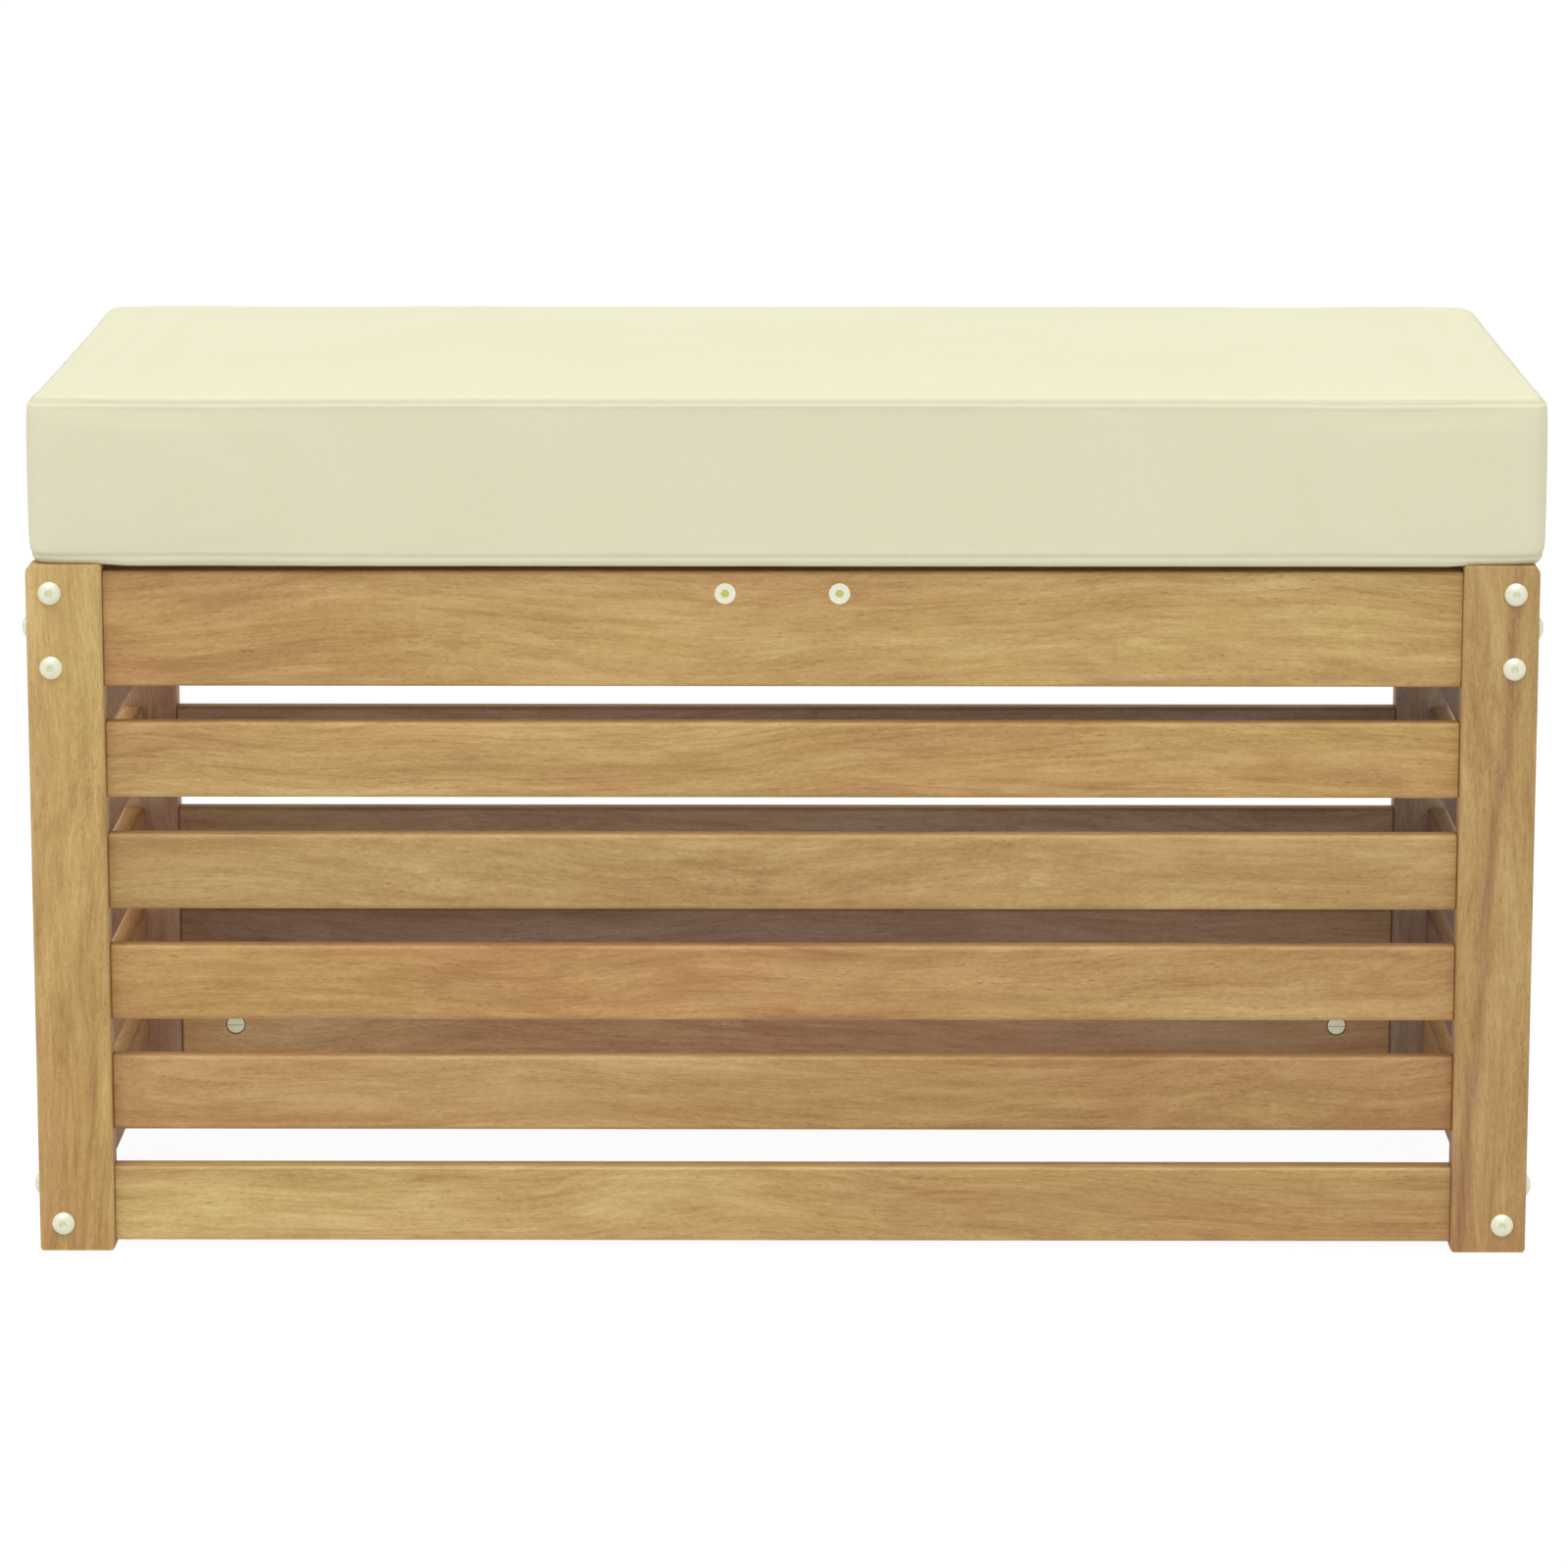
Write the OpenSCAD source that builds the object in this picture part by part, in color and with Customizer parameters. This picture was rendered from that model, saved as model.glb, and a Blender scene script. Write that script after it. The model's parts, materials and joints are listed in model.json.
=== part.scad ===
// Slatted garden storage box with a lift-out lid and a loose seat cushion.
// Millimetres, +Z up. Origin on the ground at the centre of the footprint.
// The front is the -Y side and the left is the -X side.

/* [Overall] */
// Outer length of the frame over the legs
box_length = 1000; // [700:10:1500]
// Outer depth of the frame over the legs
box_depth = 500; // [400:10:700]
// Height of the legs, which is also the height of the closed lid
leg_height = 468; // [440:1:600]

/* [Legs] */
// Width of a leg along the length of the box
leg_width = 50; // [40:1:80]
// Thickness of a leg along the depth of the box
leg_thickness = 25; // [22:1:40]
// Rounding of the outer top corner of a leg
leg_corner_radius = 6; // [2:0.5:12]
// Broken edge of a leg
leg_edge = 1.5; // [0.5:0.5:3]

/* [Rails] */
// Thickness of every rail
rail_thickness = 18; // [15:1:22]
// Height of the four top rails
top_rail_height = 77; // [60:1:90]
// Height of the four bottom rails
bottom_rail_height = 51; // [45:1:70]
// Height of the bottom rails above the ground
bottom_rail_lift = 5.5; // [3:0.5:20]
// Broken edge of a rail
rail_edge = 1.5; // [0.5:0.5:3]

/* [Slats] */
// Thickness of a wall slat
slat_thickness = 15; // [12:1:18]
// Height of a wall slat
slat_height = 51; // [40:1:60]
// Open gap between wall slats
slat_gap = 25; // [10:1:30]
// Broken edge of a wall slat
slat_edge = 2; // [0.5:0.5:3]
// Thickness of the stub tenon on a slat's end
tenon_thickness = 9; // [6:1:10]
// Height of the stub tenon on a slat's end
tenon_height = 35; // [20:1:38]
// Length of the stub tenon on a slat's end
tenon_length = 10; // [6:1:12]
// Clearance all round a tenon in its mortise
tenon_fit = 0.15; // [0.05:0.05:0.5]

/* [Seat support] */
// Width of the flat rail across the middle of the box
cross_rail_width = 100; // [80:1:140]
// Thickness of the flat rail across the middle of the box
cross_rail_thickness = 17; // [14:1:22]
// Width of the cleat under each end of the lid
cleat_width = 20; // [15:1:30]
// Height of the cleat under each end of the lid
cleat_height = 18; // [14:1:24]
// Length of the cleat under each end of the lid
cleat_length = 330; // [200:5:340]

/* [Lid] */
// Clearance between the lid and the rails on each side
lid_clearance = 2; // [1:0.5:5]
// Width of a lid slat
lid_slat_width = 60; // [50:0.5:61]
// Thickness of a lid slat
lid_slat_thickness = 11.5; // [10:0.5:14]
// Diameter of the finger holes in the middle lid slat
finger_hole_diameter = 26; // [22:1:32]
// Distance of a finger hole from the middle of the lid
finger_hole_offset = 300; // [220:5:380]
// Width of a batten under the lid
batten_width = 40; // [30:1:50]
// Thickness of a batten under the lid
batten_thickness = 14; // [12:1:18]
// Length of a batten under the lid
batten_length = 430; // [400:5:440]
// Distance of an inner batten from the middle of the lid
inner_batten_offset = 160; // [110:5:220]
// Distance of an outer batten from the middle of the lid
outer_batten_offset = 430; // [400:1:432]

/* [Cushion] */
// Length of the cushion
cushion_length = 1005; // [900:1:1100]
// Depth of the cushion
cushion_depth = 496; // [450:1:540]
// Thickness of the cushion at its edges
cushion_thickness = 104; // [60:1:140]
// Extra height of the cushion at its middle
cushion_crown = 6; // [0:1:15]
// Rounding of the long edges of the cushion
cushion_edge_radius = 16; // [6:1:30]
// Rounding of the upright corners of the cushion
cushion_corner_radius = 24; // [10:1:50]
// Clearance under the cushion
cushion_lift = 0.4; // [0.3:0.1:1]
// Length of the zip along the back of the cushion
zip_length = 620; // [300:10:800]
// Height of the zip strip
zip_height = 9; // [6:1:14]
// Thickness of the zip strip
zip_thickness = 1.2; // [0.8:0.1:2]

/* [Bolts and nuts] */
// Diameter of a domed bolt head
bolt_head_diameter = 15; // [12:0.5:18]
// Height of a domed bolt head
bolt_head_height = 4.6; // [3:0.1:6]
// Height of the straight rim of a domed bolt head
bolt_rim_height = 1.2; // [0.5:0.1:2]
// Diameter of the bolts
bolt_diameter = 6; // [5:0.5:8]
// Clearance of a bolt in its hole, on the radius
bolt_fit = 0.5; // [0.2:0.1:1]
// Key size of the hexagon sockets
socket_size = 5; // [4:0.5:6]
// Depth of the hexagon sockets
socket_depth = 2.6; // [2:0.1:3]
// Distance of every bolt line from the outer face of the leg
bolt_inset = 16; // [14:0.5:18]
// Distance of a barrel nut from the end of its rail
nut_inset = 39.6; // [30:0.2:50]
// Diameter of a barrel nut
nut_diameter = 13; // [10:0.5:14]
// Length of a barrel nut
nut_length = 15.2; // [12:0.2:16]
// Diameter of the flat head of a centre rail bolt
flat_head_diameter = 14; // [11:0.5:16]
// Height of the flat head of a centre rail bolt
flat_head_height = 4; // [3:0.1:5]
// Distance between the two centre rail bolts
centre_bolt_spacing = 75.7; // [50:0.1:80]
// Diameter of a barrel nut in the centre rail
small_nut_diameter = 10; // [8:0.5:11]

/* [Dowels and screws] */
// Diameter of the dowels
dowel_diameter = 8; // [6:1:10]
// Length of the dowels
dowel_length = 29; // [20:1:34]
// Diameter of the wood screws
screw_diameter = 3.6; // [3:0.1:4]
// Diameter of a wood screw's head
screw_head_diameter = 7; // [6:0.5:8]
// Length of the screws in the lid
lid_screw_length = 20; // [16:1:22]
// Length of the screws in the cleats
cleat_screw_length = 32; // [25:1:34]

/* [Hidden] */
wood = [0.76, 0.58, 0.36];
lid_wood = [0.72, 0.53, 0.33];
steel = [0.86, 0.85, 0.75];
nut_steel = [0.78, 0.76, 0.64];
fabric = [0.94, 0.92, 0.81];
zip_cream = [0.84, 0.81, 0.70];
over = 1;
fit = 0.05;
slat_count = 4;
lid_slat_count = 7;
crown_steps = 8;
arc_steps = 5;
hex_sides = 6;
half_length = box_length / 2;
half_depth = box_depth / 2;
leg_inner_x = half_length - leg_width;
leg_inner_y = half_depth - leg_thickness;
side_face = half_length - leg_thickness;
rail_centre = leg_thickness - rail_thickness / 2;
top_rail_z = bottom_rail_lift + bottom_rail_height + slat_gap + slat_count * (slat_height + slat_gap);
top_bolt_z = top_rail_z + top_rail_height / 2;
top_bolt_spread = 25;
bottom_bolt_z = bottom_rail_lift + bottom_rail_height / 2;
bottom_bolt_spread = 12;
top_dowel_spread = 18;
face_bolt_heights = [
    top_bolt_z - top_bolt_spread,
    top_bolt_z + top_bolt_spread,
    bottom_bolt_z - bottom_bolt_spread
];
dowel_heights = [
    top_bolt_z - top_dowel_spread,
    top_bolt_z + top_dowel_spread,
    bottom_bolt_z - bottom_bolt_spread
];
bore_radius = bolt_diameter / 2 + bolt_fit;
bore_past_nut = 13;
bore_depth = nut_inset + bore_past_nut;
nut_bore = 15.8;
dome_rise = bolt_head_height - bolt_rim_height;
dome_flattening = 0.3;
dome_radius = (pow(bolt_head_diameter / 2, 2) + pow(dome_rise, 2)) / (2 * dome_rise) + dome_flattening;
socket_radius = socket_size / 2 / cos(30);
bolt_past_nut = 7;
leg_bolt_length_x = leg_width + nut_inset + bolt_past_nut;
leg_bolt_length_y = leg_thickness + nut_inset + bolt_past_nut;
lid_rest_z = leg_height - lid_slat_thickness;
cross_rail_z = lid_rest_z - cross_rail_thickness;
cross_bolt_z = lid_rest_z - cross_rail_thickness / 2;
small_nut_inset = 30;
small_nut_length = 12.4;
small_nut_bore = 13;
cross_bolt_past_nut = 5;
cross_bolt_length = rail_thickness + small_nut_inset + cross_bolt_past_nut;
nut_slot_width = 1.4;
nut_slot_depth = 1;
lid_length = 2 * (side_face - lid_clearance);
lid_depth = 2 * (leg_inner_y - lid_clearance);
lid_slat_pitch = (lid_depth - lid_slat_width) / (lid_slat_count - 1);
batten_offsets = [-outer_batten_offset, -inner_batten_offset, inner_batten_offset, outer_batten_offset];
cleat_screw_offsets = [-140, -47, 47, 140];
screw_head_height = 2.6;
screw_tip = 4;
screw_point_diameter = 0.8;
cushion_z = leg_height + cushion_lift;
zip_z = cushion_z + cushion_thickness / 2;
pull_width = 11;
pull_height = 8;
pull_thickness = 2;
tab_width = 5;
tab_height = 20;
tab_thickness = 1.2;

// Outline of a board's section with its four corners broken.
function broken(w, h, c) = [
    [c, 0], [w - c, 0], [w, c], [w, h - c],
    [w - c, h], [c, h], [0, h - c], [0, c]
];

// Points of an arc about (cx, cy).
function arc(cx, cy, r, from, to) = [
    for (i = [0 : arc_steps])
        let (a = from + (to - from) * i / arc_steps)
            [cx + r * cos(a), cy + r * sin(a)]
];

// Outline of a leg seen from the front, with its outer edge on the left.
function leg_outline() = concat(
    [[leg_edge, 0], [leg_width - leg_edge, 0], [leg_width, leg_edge]],
    [[leg_width, leg_height - leg_edge], [leg_width - leg_edge, leg_height]],
    arc(leg_corner_radius, leg_height - leg_corner_radius, leg_corner_radius, 90, 180),
    [[0, leg_edge]]
);

// Height of wall slat i, counted from the bottom.
function slat_z(i) = bottom_rail_lift + bottom_rail_height + slat_gap + (i - 1) * (slat_height + slat_gap);

// Middle of lid slat i, counted from the front.
function lid_slat_y(i) = -lid_depth / 2 + lid_slat_width / 2 + (i - 1) * lid_slat_pitch;

// Section of the cushion, crowned on top, centred on the first axis.
function cushion_section(half, r) = concat(
    arc(half - r, r, r, -90, 0),
    arc(half - r, cushion_thickness - r, r, 0, 90),
    [
        for (i = [1 : crown_steps - 1])
            let (s = 1 - 2 * i / crown_steps)
                [(half - r) * s, cushion_thickness + cushion_crown * (1 - s * s)]
    ],
    arc(r - half, cushion_thickness - r, r, 90, 180),
    arc(r - half, r, r, 180, 270)
);

// Plan of the cushion with rounded corners.
function cushion_plan(a, b, r) = concat(
    arc(a - r, b - r, r, 0, 90),
    arc(r - a, b - r, r, 90, 180),
    arc(r - a, r - b, r, 180, 270),
    arc(a - r, r - b, r, 270, 360)
);

// A bar lying along X, centred on it, with y and z starting at zero.
module bar_x(length, depth, height, edge) {
    translate([-length / 2, 0, 0])
        rotate([90, 0, 90])
            linear_extrude(height = length)
                polygon(broken(depth, height, edge));
}

// A bar lying along Y, centred on it, with x and z starting at zero.
module bar_y(length, width, height, edge) {
    translate([0, length / 2, 0])
        rotate([90, 0, 0])
            linear_extrude(height = length)
                polygon(broken(width, height, edge));
}

// Turns a shape built along +Z so that it points into the box from the front or the rear face.
module into_y(side) {
    rotate([side * 90, 0, 0])
        children();
}

// Turns a shape built along +Z so that it points into the box from the left or the right face.
module into_x(side) {
    rotate([0, -side * 90, 0])
        children();
}

// Pocket in a leg for one slat's tenon, on the leg's two inner faces.
module mortises(z) {
    reach = tenon_length + tenon_fit * 3;
    thick = tenon_thickness + 2 * tenon_fit;
    tall = tenon_height + 2 * tenon_fit;
    start = leg_thickness - slat_thickness / 2 - thick / 2;
    translate([leg_width - reach, start, z + slat_height / 2 - tall / 2])
        cube([reach + over, thick, tall]);
    translate([start, leg_thickness - reach, z + slat_height / 2 - tall / 2])
        cube([thick, reach + over, tall]);
}

// Bolt and dowel holes of a leg.
module leg_holes() {
    for (z = face_bolt_heights)
        translate([bolt_inset, -over, z])
            rotate([-90, 0, 0])
                cylinder(h = leg_thickness + 2 * over, r = bore_radius);
    for (z = [top_bolt_z, bottom_bolt_z + bottom_bolt_spread])
        translate([-over, bolt_inset, z])
            rotate([0, 90, 0])
                cylinder(h = leg_width + 2 * over, r = bore_radius);
    for (z = dowel_heights)
        translate([leg_width - dowel_length / 2 - fit, bolt_inset, z])
            rotate([0, 90, 0])
                cylinder(h = dowel_length, r = dowel_diameter / 2 + fit);
    translate([bolt_inset, leg_thickness - dowel_length / 2 - fit, bottom_bolt_z])
        rotate([-90, 0, 0])
            cylinder(h = dowel_length, r = dowel_diameter / 2 + fit);
}

// One leg, built at the front left corner and mirrored to the others.
module leg(side_x, side_y) {
    translate([side_x * half_length, side_y * half_depth, 0])
        mirror([side_x > 0 ? 1 : 0, 0, 0])
            mirror([0, side_y > 0 ? 1 : 0, 0])
                difference() {
                    intersection() {
                        translate([0, leg_thickness, 0])
                            rotate([90, 0, 0])
                                linear_extrude(height = leg_thickness)
                                    polygon(leg_outline());
                        linear_extrude(height = leg_height)
                            polygon(broken(leg_width, leg_thickness, leg_edge));
                    }
                    for (i = [1 : slat_count])
                        mortises(slat_z(i));
                    leg_holes();
                }
}

// Bore for a bolt in a rail's end with the cross bore for its barrel nut.
// The rail's end lies at z = 0 and its inner face lies at y = rail_thickness / 2.
module rail_bolt_bore() {
    translate([0, 0, -over])
        cylinder(h = bore_depth + over, r = bore_radius);
    translate([0, rail_thickness / 2 + over, nut_inset])
        rotate([90, 0, 0])
            cylinder(h = nut_bore + over, r = nut_diameter / 2 + fit);
}

// One front or rear rail with its bolt, nut and dowel bores.
module long_rail(side, z, height, bolt_z, dowel_zs) {
    centre_y = side * (half_depth - rail_centre);
    difference() {
        translate([0, centre_y - rail_thickness / 2, z])
            bar_x(2 * leg_inner_x, rail_thickness, height, rail_edge);
        for (end = [-1, 1]) {
            translate([end * leg_inner_x, centre_y, bolt_z])
                mirror([end > 0 ? 1 : 0, 0, 0])
                    mirror([0, side > 0 ? 1 : 0, 0])
                        rotate([0, 90, 0])
                            rail_bolt_bore();
            for (dowel_z = dowel_zs)
                translate([end * leg_inner_x, centre_y, dowel_z])
                    rotate([0, -end * 90, 0])
                        translate([0, 0, -over])
                            cylinder(h = dowel_length / 2 + fit + over, r = dowel_diameter / 2 + fit);
        }
    }
}

// One front or rear top rail, which also carries the centre rail bolts.
module top_long_rail(side) {
    difference() {
        long_rail(side, top_rail_z, top_rail_height, top_bolt_z,
            [top_bolt_z - top_dowel_spread, top_bolt_z + top_dowel_spread]);
        for (end = [-1, 1])
            translate([
                end * centre_bolt_spacing / 2,
                side * (half_depth - leg_thickness + rail_thickness),
                cross_bolt_z
            ])
                into_y(side)
                    flat_bolt_hole(rail_thickness + over);
    }
}

// Clearance hole with a countersink for a flat headed bolt.
module flat_bolt_hole(depth) {
    cylinder(h = depth, r = bolt_diameter / 2 + bolt_fit);
    cylinder(h = flat_head_height, r1 = flat_head_diameter / 2 + fit, r2 = bolt_diameter / 2 + fit);
    translate([0, 0, -over])
        cylinder(h = over, r = flat_head_diameter / 2 + fit);
}

// One left or right rail with its bolt, nut and dowel bores.
module side_rail(side, z, height, bolt_zs, dowel_zs) {
    centre_x = side * (half_length - rail_centre);
    difference() {
        translate([centre_x - rail_thickness / 2, 0, z])
            bar_y(2 * leg_inner_y, rail_thickness, height, rail_edge);
        for (end = [-1, 1]) {
            for (bolt_z = bolt_zs)
                translate([centre_x, end * leg_inner_y, bolt_z])
                    mirror([side > 0 ? 1 : 0, 0, 0])
                        mirror([0, end > 0 ? 1 : 0, 0])
                            rotate([-90, -90, 0])
                                rail_bolt_bore();
            for (dowel_z = dowel_zs)
                translate([centre_x, end * leg_inner_y, dowel_z])
                    into_y(end)
                        translate([0, 0, -over])
                            cylinder(h = dowel_length / 2 + fit + over, r = dowel_diameter / 2 + fit);
        }
    }
}

// One side top rail, which also takes the cleat's screws.
module top_side_rail(side) {
    difference() {
        side_rail(side, top_rail_z, top_rail_height,
            [top_bolt_z - top_bolt_spread, top_bolt_z + top_bolt_spread], []);
        cleat_screw_holes(side);
    }
}

// Pilot holes for the cleat's screws in a side rail or a cleat.
module cleat_screw_holes(side) {
    for (y = cleat_screw_offsets)
        translate([side * (side_face - cleat_width), y, lid_rest_z - cleat_height / 2])
            rotate([0, side * 90, 0])
                screw_hole(cleat_screw_length);
}

// A countersunk pilot hole for a wood screw.
module screw_hole(length) {
    cylinder(h = length + fit, r = screw_diameter / 2 + fit);
    cylinder(h = screw_head_height, r1 = screw_head_diameter / 2 + fit, r2 = screw_diameter / 2 + fit);
    translate([0, 0, -over])
        cylinder(h = over, r = screw_head_diameter / 2 + fit);
}

// A wall slat along the length of the box, with its two tenons.
module long_slat(side, i) {
    centre_y = side * (leg_inner_y + slat_thickness / 2);
    translate([0, centre_y - slat_thickness / 2, slat_z(i)])
        bar_x(2 * leg_inner_x, slat_thickness, slat_height, slat_edge);
    for (end = [-1, 1])
        translate([
            end * (leg_inner_x + tenon_length / 2 - over / 2),
            centre_y,
            slat_z(i) + slat_height / 2
        ])
            cube([tenon_length + over, tenon_thickness, tenon_height], center = true);
}

// A wall slat along the depth of the box, with its two tenons.
module side_slat(side, i) {
    centre_x = side * (side_face + slat_thickness / 2);
    translate([centre_x - slat_thickness / 2, 0, slat_z(i)])
        bar_y(2 * leg_inner_y, slat_thickness, slat_height, slat_edge);
    for (end = [-1, 1])
        translate([
            centre_x,
            end * (leg_inner_y + tenon_length / 2 - over / 2),
            slat_z(i) + slat_height / 2
        ])
            cube([tenon_thickness, tenon_length + over, tenon_height], center = true);
}

// The cleat that holds up one end of the lid.
module lid_cleat(side) {
    difference() {
        translate([side * (side_face - cleat_width / 2) - cleat_width / 2, 0, lid_rest_z - cleat_height])
            bar_y(cleat_length, cleat_width, cleat_height, rail_edge);
        cleat_screw_holes(side);
    }
}

// One lid slat with the pilot holes of its screws.
module lid_slat(i) {
    difference() {
        translate([0, lid_slat_y(i) - lid_slat_width / 2, lid_rest_z])
            bar_x(lid_length, lid_slat_width, lid_slat_thickness, rail_edge);
        lid_screw_holes(i);
    }
}

// Pilot holes of lid slat i in the slat and the battens.
module lid_screw_holes(i) {
    for (x = batten_offsets)
        translate([x, lid_slat_y(i), lid_rest_z - batten_thickness])
            screw_hole(lid_screw_length);
}

// A batten under the lid.
module lid_batten(i) {
    difference() {
        translate([batten_offsets[i - 1] - batten_width / 2, 0, lid_rest_z - batten_thickness])
            bar_y(batten_length, batten_width, batten_thickness, rail_edge);
        for (k = [1 : lid_slat_count])
            translate([batten_offsets[i - 1], lid_slat_y(k), lid_rest_z - batten_thickness])
                screw_hole(lid_screw_length);
    }
}

// A domed bolt pointing along +Z, with the underside of its head at z = 0.
module domed_bolt(length) {
    difference() {
        intersection() {
            translate([0, 0, -bolt_head_height])
                cylinder(h = bolt_head_height, d = bolt_head_diameter);
            translate([0, 0, dome_radius - bolt_head_height])
                sphere(r = dome_radius);
        }
        translate([0, 0, -bolt_head_height - over])
            cylinder(h = socket_depth + over, r = socket_radius, $fn = hex_sides);
    }
    cylinder(h = length, d = bolt_diameter);
}

// A flat headed bolt pointing along +Z, with the top of its head at z = 0.
module flat_bolt(length) {
    difference() {
        union() {
            cylinder(h = flat_head_height, r1 = flat_head_diameter / 2, r2 = bolt_diameter / 2);
            cylinder(h = length, d = bolt_diameter);
        }
        translate([0, 0, -over])
            cylinder(h = socket_depth + over, r = socket_radius, $fn = hex_sides);
    }
}

// A barrel nut with its slotted end at z = 0 and its thread along X.
module barrel_nut(diameter, length, thread_z) {
    difference() {
        cylinder(h = length, d = diameter);
        translate([-diameter, 0, thread_z])
            rotate([0, 90, 0])
                cylinder(h = 2 * diameter, r = bolt_diameter / 2 + fit);
        cube([2 * diameter, nut_slot_width, 2 * nut_slot_depth], center = true);
    }
}

// A countersunk wood screw pointing along +Z, with the top of its head at z = 0.
module wood_screw(length) {
    cylinder(h = screw_head_height, d1 = screw_head_diameter, d2 = screw_diameter);
    cylinder(h = length - screw_tip, d = screw_diameter);
    translate([0, 0, length - screw_tip])
        cylinder(h = screw_tip, d1 = screw_diameter, d2 = screw_point_diameter);
}

module leg_front_left() { color(wood) leg(-1, -1); }
module leg_front_right() { color(wood) leg(1, -1); }
module leg_rear_left() { color(wood) leg(-1, 1); }
module leg_rear_right() { color(wood) leg(1, 1); }

module top_rail_front() { color(wood) top_long_rail(-1); }
module top_rail_rear() { color(wood) top_long_rail(1); }
module top_rail_left() { color(wood) top_side_rail(-1); }
module top_rail_right() { color(wood) top_side_rail(1); }

module bottom_long_rail(side) {
    long_rail(side, bottom_rail_lift, bottom_rail_height, bottom_bolt_z + bottom_bolt_spread,
        [bottom_bolt_z - bottom_bolt_spread]);
}

module bottom_side_rail(side) {
    side_rail(side, bottom_rail_lift, bottom_rail_height,
        [bottom_bolt_z - bottom_bolt_spread], [bottom_bolt_z]);
}

module bottom_rail_front() { color(wood) bottom_long_rail(-1); }
module bottom_rail_rear() { color(wood) bottom_long_rail(1); }
module bottom_rail_left() { color(wood) bottom_side_rail(-1); }
module bottom_rail_right() { color(wood) bottom_side_rail(1); }

module slat_front_1() { color(wood) long_slat(-1, 1); }
module slat_front_2() { color(wood) long_slat(-1, 2); }
module slat_front_3() { color(wood) long_slat(-1, 3); }
module slat_front_4() { color(wood) long_slat(-1, 4); }
module slat_rear_1() { color(wood) long_slat(1, 1); }
module slat_rear_2() { color(wood) long_slat(1, 2); }
module slat_rear_3() { color(wood) long_slat(1, 3); }
module slat_rear_4() { color(wood) long_slat(1, 4); }
module slat_left_1() { color(wood) side_slat(-1, 1); }
module slat_left_2() { color(wood) side_slat(-1, 2); }
module slat_left_3() { color(wood) side_slat(-1, 3); }
module slat_left_4() { color(wood) side_slat(-1, 4); }
module slat_right_1() { color(wood) side_slat(1, 1); }
module slat_right_2() { color(wood) side_slat(1, 2); }
module slat_right_3() { color(wood) side_slat(1, 3); }
module slat_right_4() { color(wood) side_slat(1, 4); }

// The flat rail across the middle of the box, under the lid.
module centre_cross_rail() {
    color(wood)
        difference() {
            translate([-cross_rail_width / 2, 0, cross_rail_z])
                bar_y(2 * leg_inner_y, cross_rail_width, cross_rail_thickness, rail_edge);
            for (side = [-1, 1])
                for (end = [-1, 1]) {
                    translate([end * centre_bolt_spacing / 2, side * (leg_inner_y + over), cross_bolt_z])
                        into_y(side)
                            cylinder(h = small_nut_inset + over + bolt_past_nut, r = bore_radius);
                    translate([
                        end * centre_bolt_spacing / 2,
                        side * (leg_inner_y - small_nut_inset),
                        cross_rail_z - over
                    ])
                        cylinder(h = small_nut_bore + over, r = small_nut_diameter / 2 + fit);
                }
        }
}

module lid_cleat_left() { color(wood) lid_cleat(-1); }
module lid_cleat_right() { color(wood) lid_cleat(1); }

module lid_slat_1() { color(lid_wood) lid_slat(1); }
module lid_slat_2() { color(lid_wood) lid_slat(2); }
module lid_slat_3() { color(lid_wood) lid_slat(3); }

// The middle lid slat has two finger holes to lift the lid by.
module lid_slat_4() {
    color(lid_wood)
        difference() {
            lid_slat(4);
            for (end = [-1, 1])
                translate([end * finger_hole_offset, lid_slat_y(4), lid_rest_z - over])
                    cylinder(h = lid_slat_thickness + 2 * over, d = finger_hole_diameter);
        }
}

module lid_slat_5() { color(lid_wood) lid_slat(5); }
module lid_slat_6() { color(lid_wood) lid_slat(6); }
module lid_slat_7() { color(lid_wood) lid_slat(7); }
module lid_batten_1() { color(lid_wood) lid_batten(1); }
module lid_batten_2() { color(lid_wood) lid_batten(2); }
module lid_batten_3() { color(lid_wood) lid_batten(3); }
module lid_batten_4() { color(lid_wood) lid_batten(4); }

// The seat cushion as one closed solid, crowned on top.
module seat_cushion() {
    color(fabric)
        translate([0, 0, cushion_z])
            intersection() {
                translate([0, cushion_depth, 0])
                    rotate([90, 0, 0])
                        linear_extrude(height = 2 * cushion_depth)
                            polygon(cushion_section(cushion_length / 2, cushion_edge_radius));
                translate([-cushion_length, 0, 0])
                    rotate([90, 0, 90])
                        linear_extrude(height = 2 * cushion_length)
                            polygon(cushion_section(cushion_depth / 2, cushion_edge_radius));
                translate([0, 0, -over])
                    linear_extrude(height = cushion_thickness + cushion_crown + 2 * over)
                        polygon(cushion_plan(cushion_length / 2, cushion_depth / 2, cushion_corner_radius));
            }
}

// The zip strip along the back of the cushion.
module cushion_zip() {
    color(zip_cream)
        translate([-zip_length / 2, cushion_depth / 2, zip_z - zip_height / 2])
            cube([zip_length, zip_thickness, zip_height]);
}

// The zip's slider with its hanging tab.
module cushion_zip_pull() {
    face = cushion_depth / 2 + zip_thickness;
    color(steel) {
        translate([zip_length / 2 - 3 * pull_width, face, zip_z - pull_height / 2])
            cube([pull_width, pull_thickness, pull_height]);
        translate([
            zip_length / 2 - 3 * pull_width + (pull_width - tab_width) / 2,
            face + pull_thickness / 4,
            zip_z - tab_height
        ])
            cube([tab_width, tab_thickness, tab_height]);
    }
}

// Domed bolts through the front and rear faces of the legs.
module bolts_front_rear() {
    color(steel)
        for (side = [-1, 1])
            for (end = [-1, 1])
                for (z = face_bolt_heights)
                    translate([end * (half_length - bolt_inset), side * half_depth, z])
                        into_y(side)
                            domed_bolt(leg_bolt_length_y);
}

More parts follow.
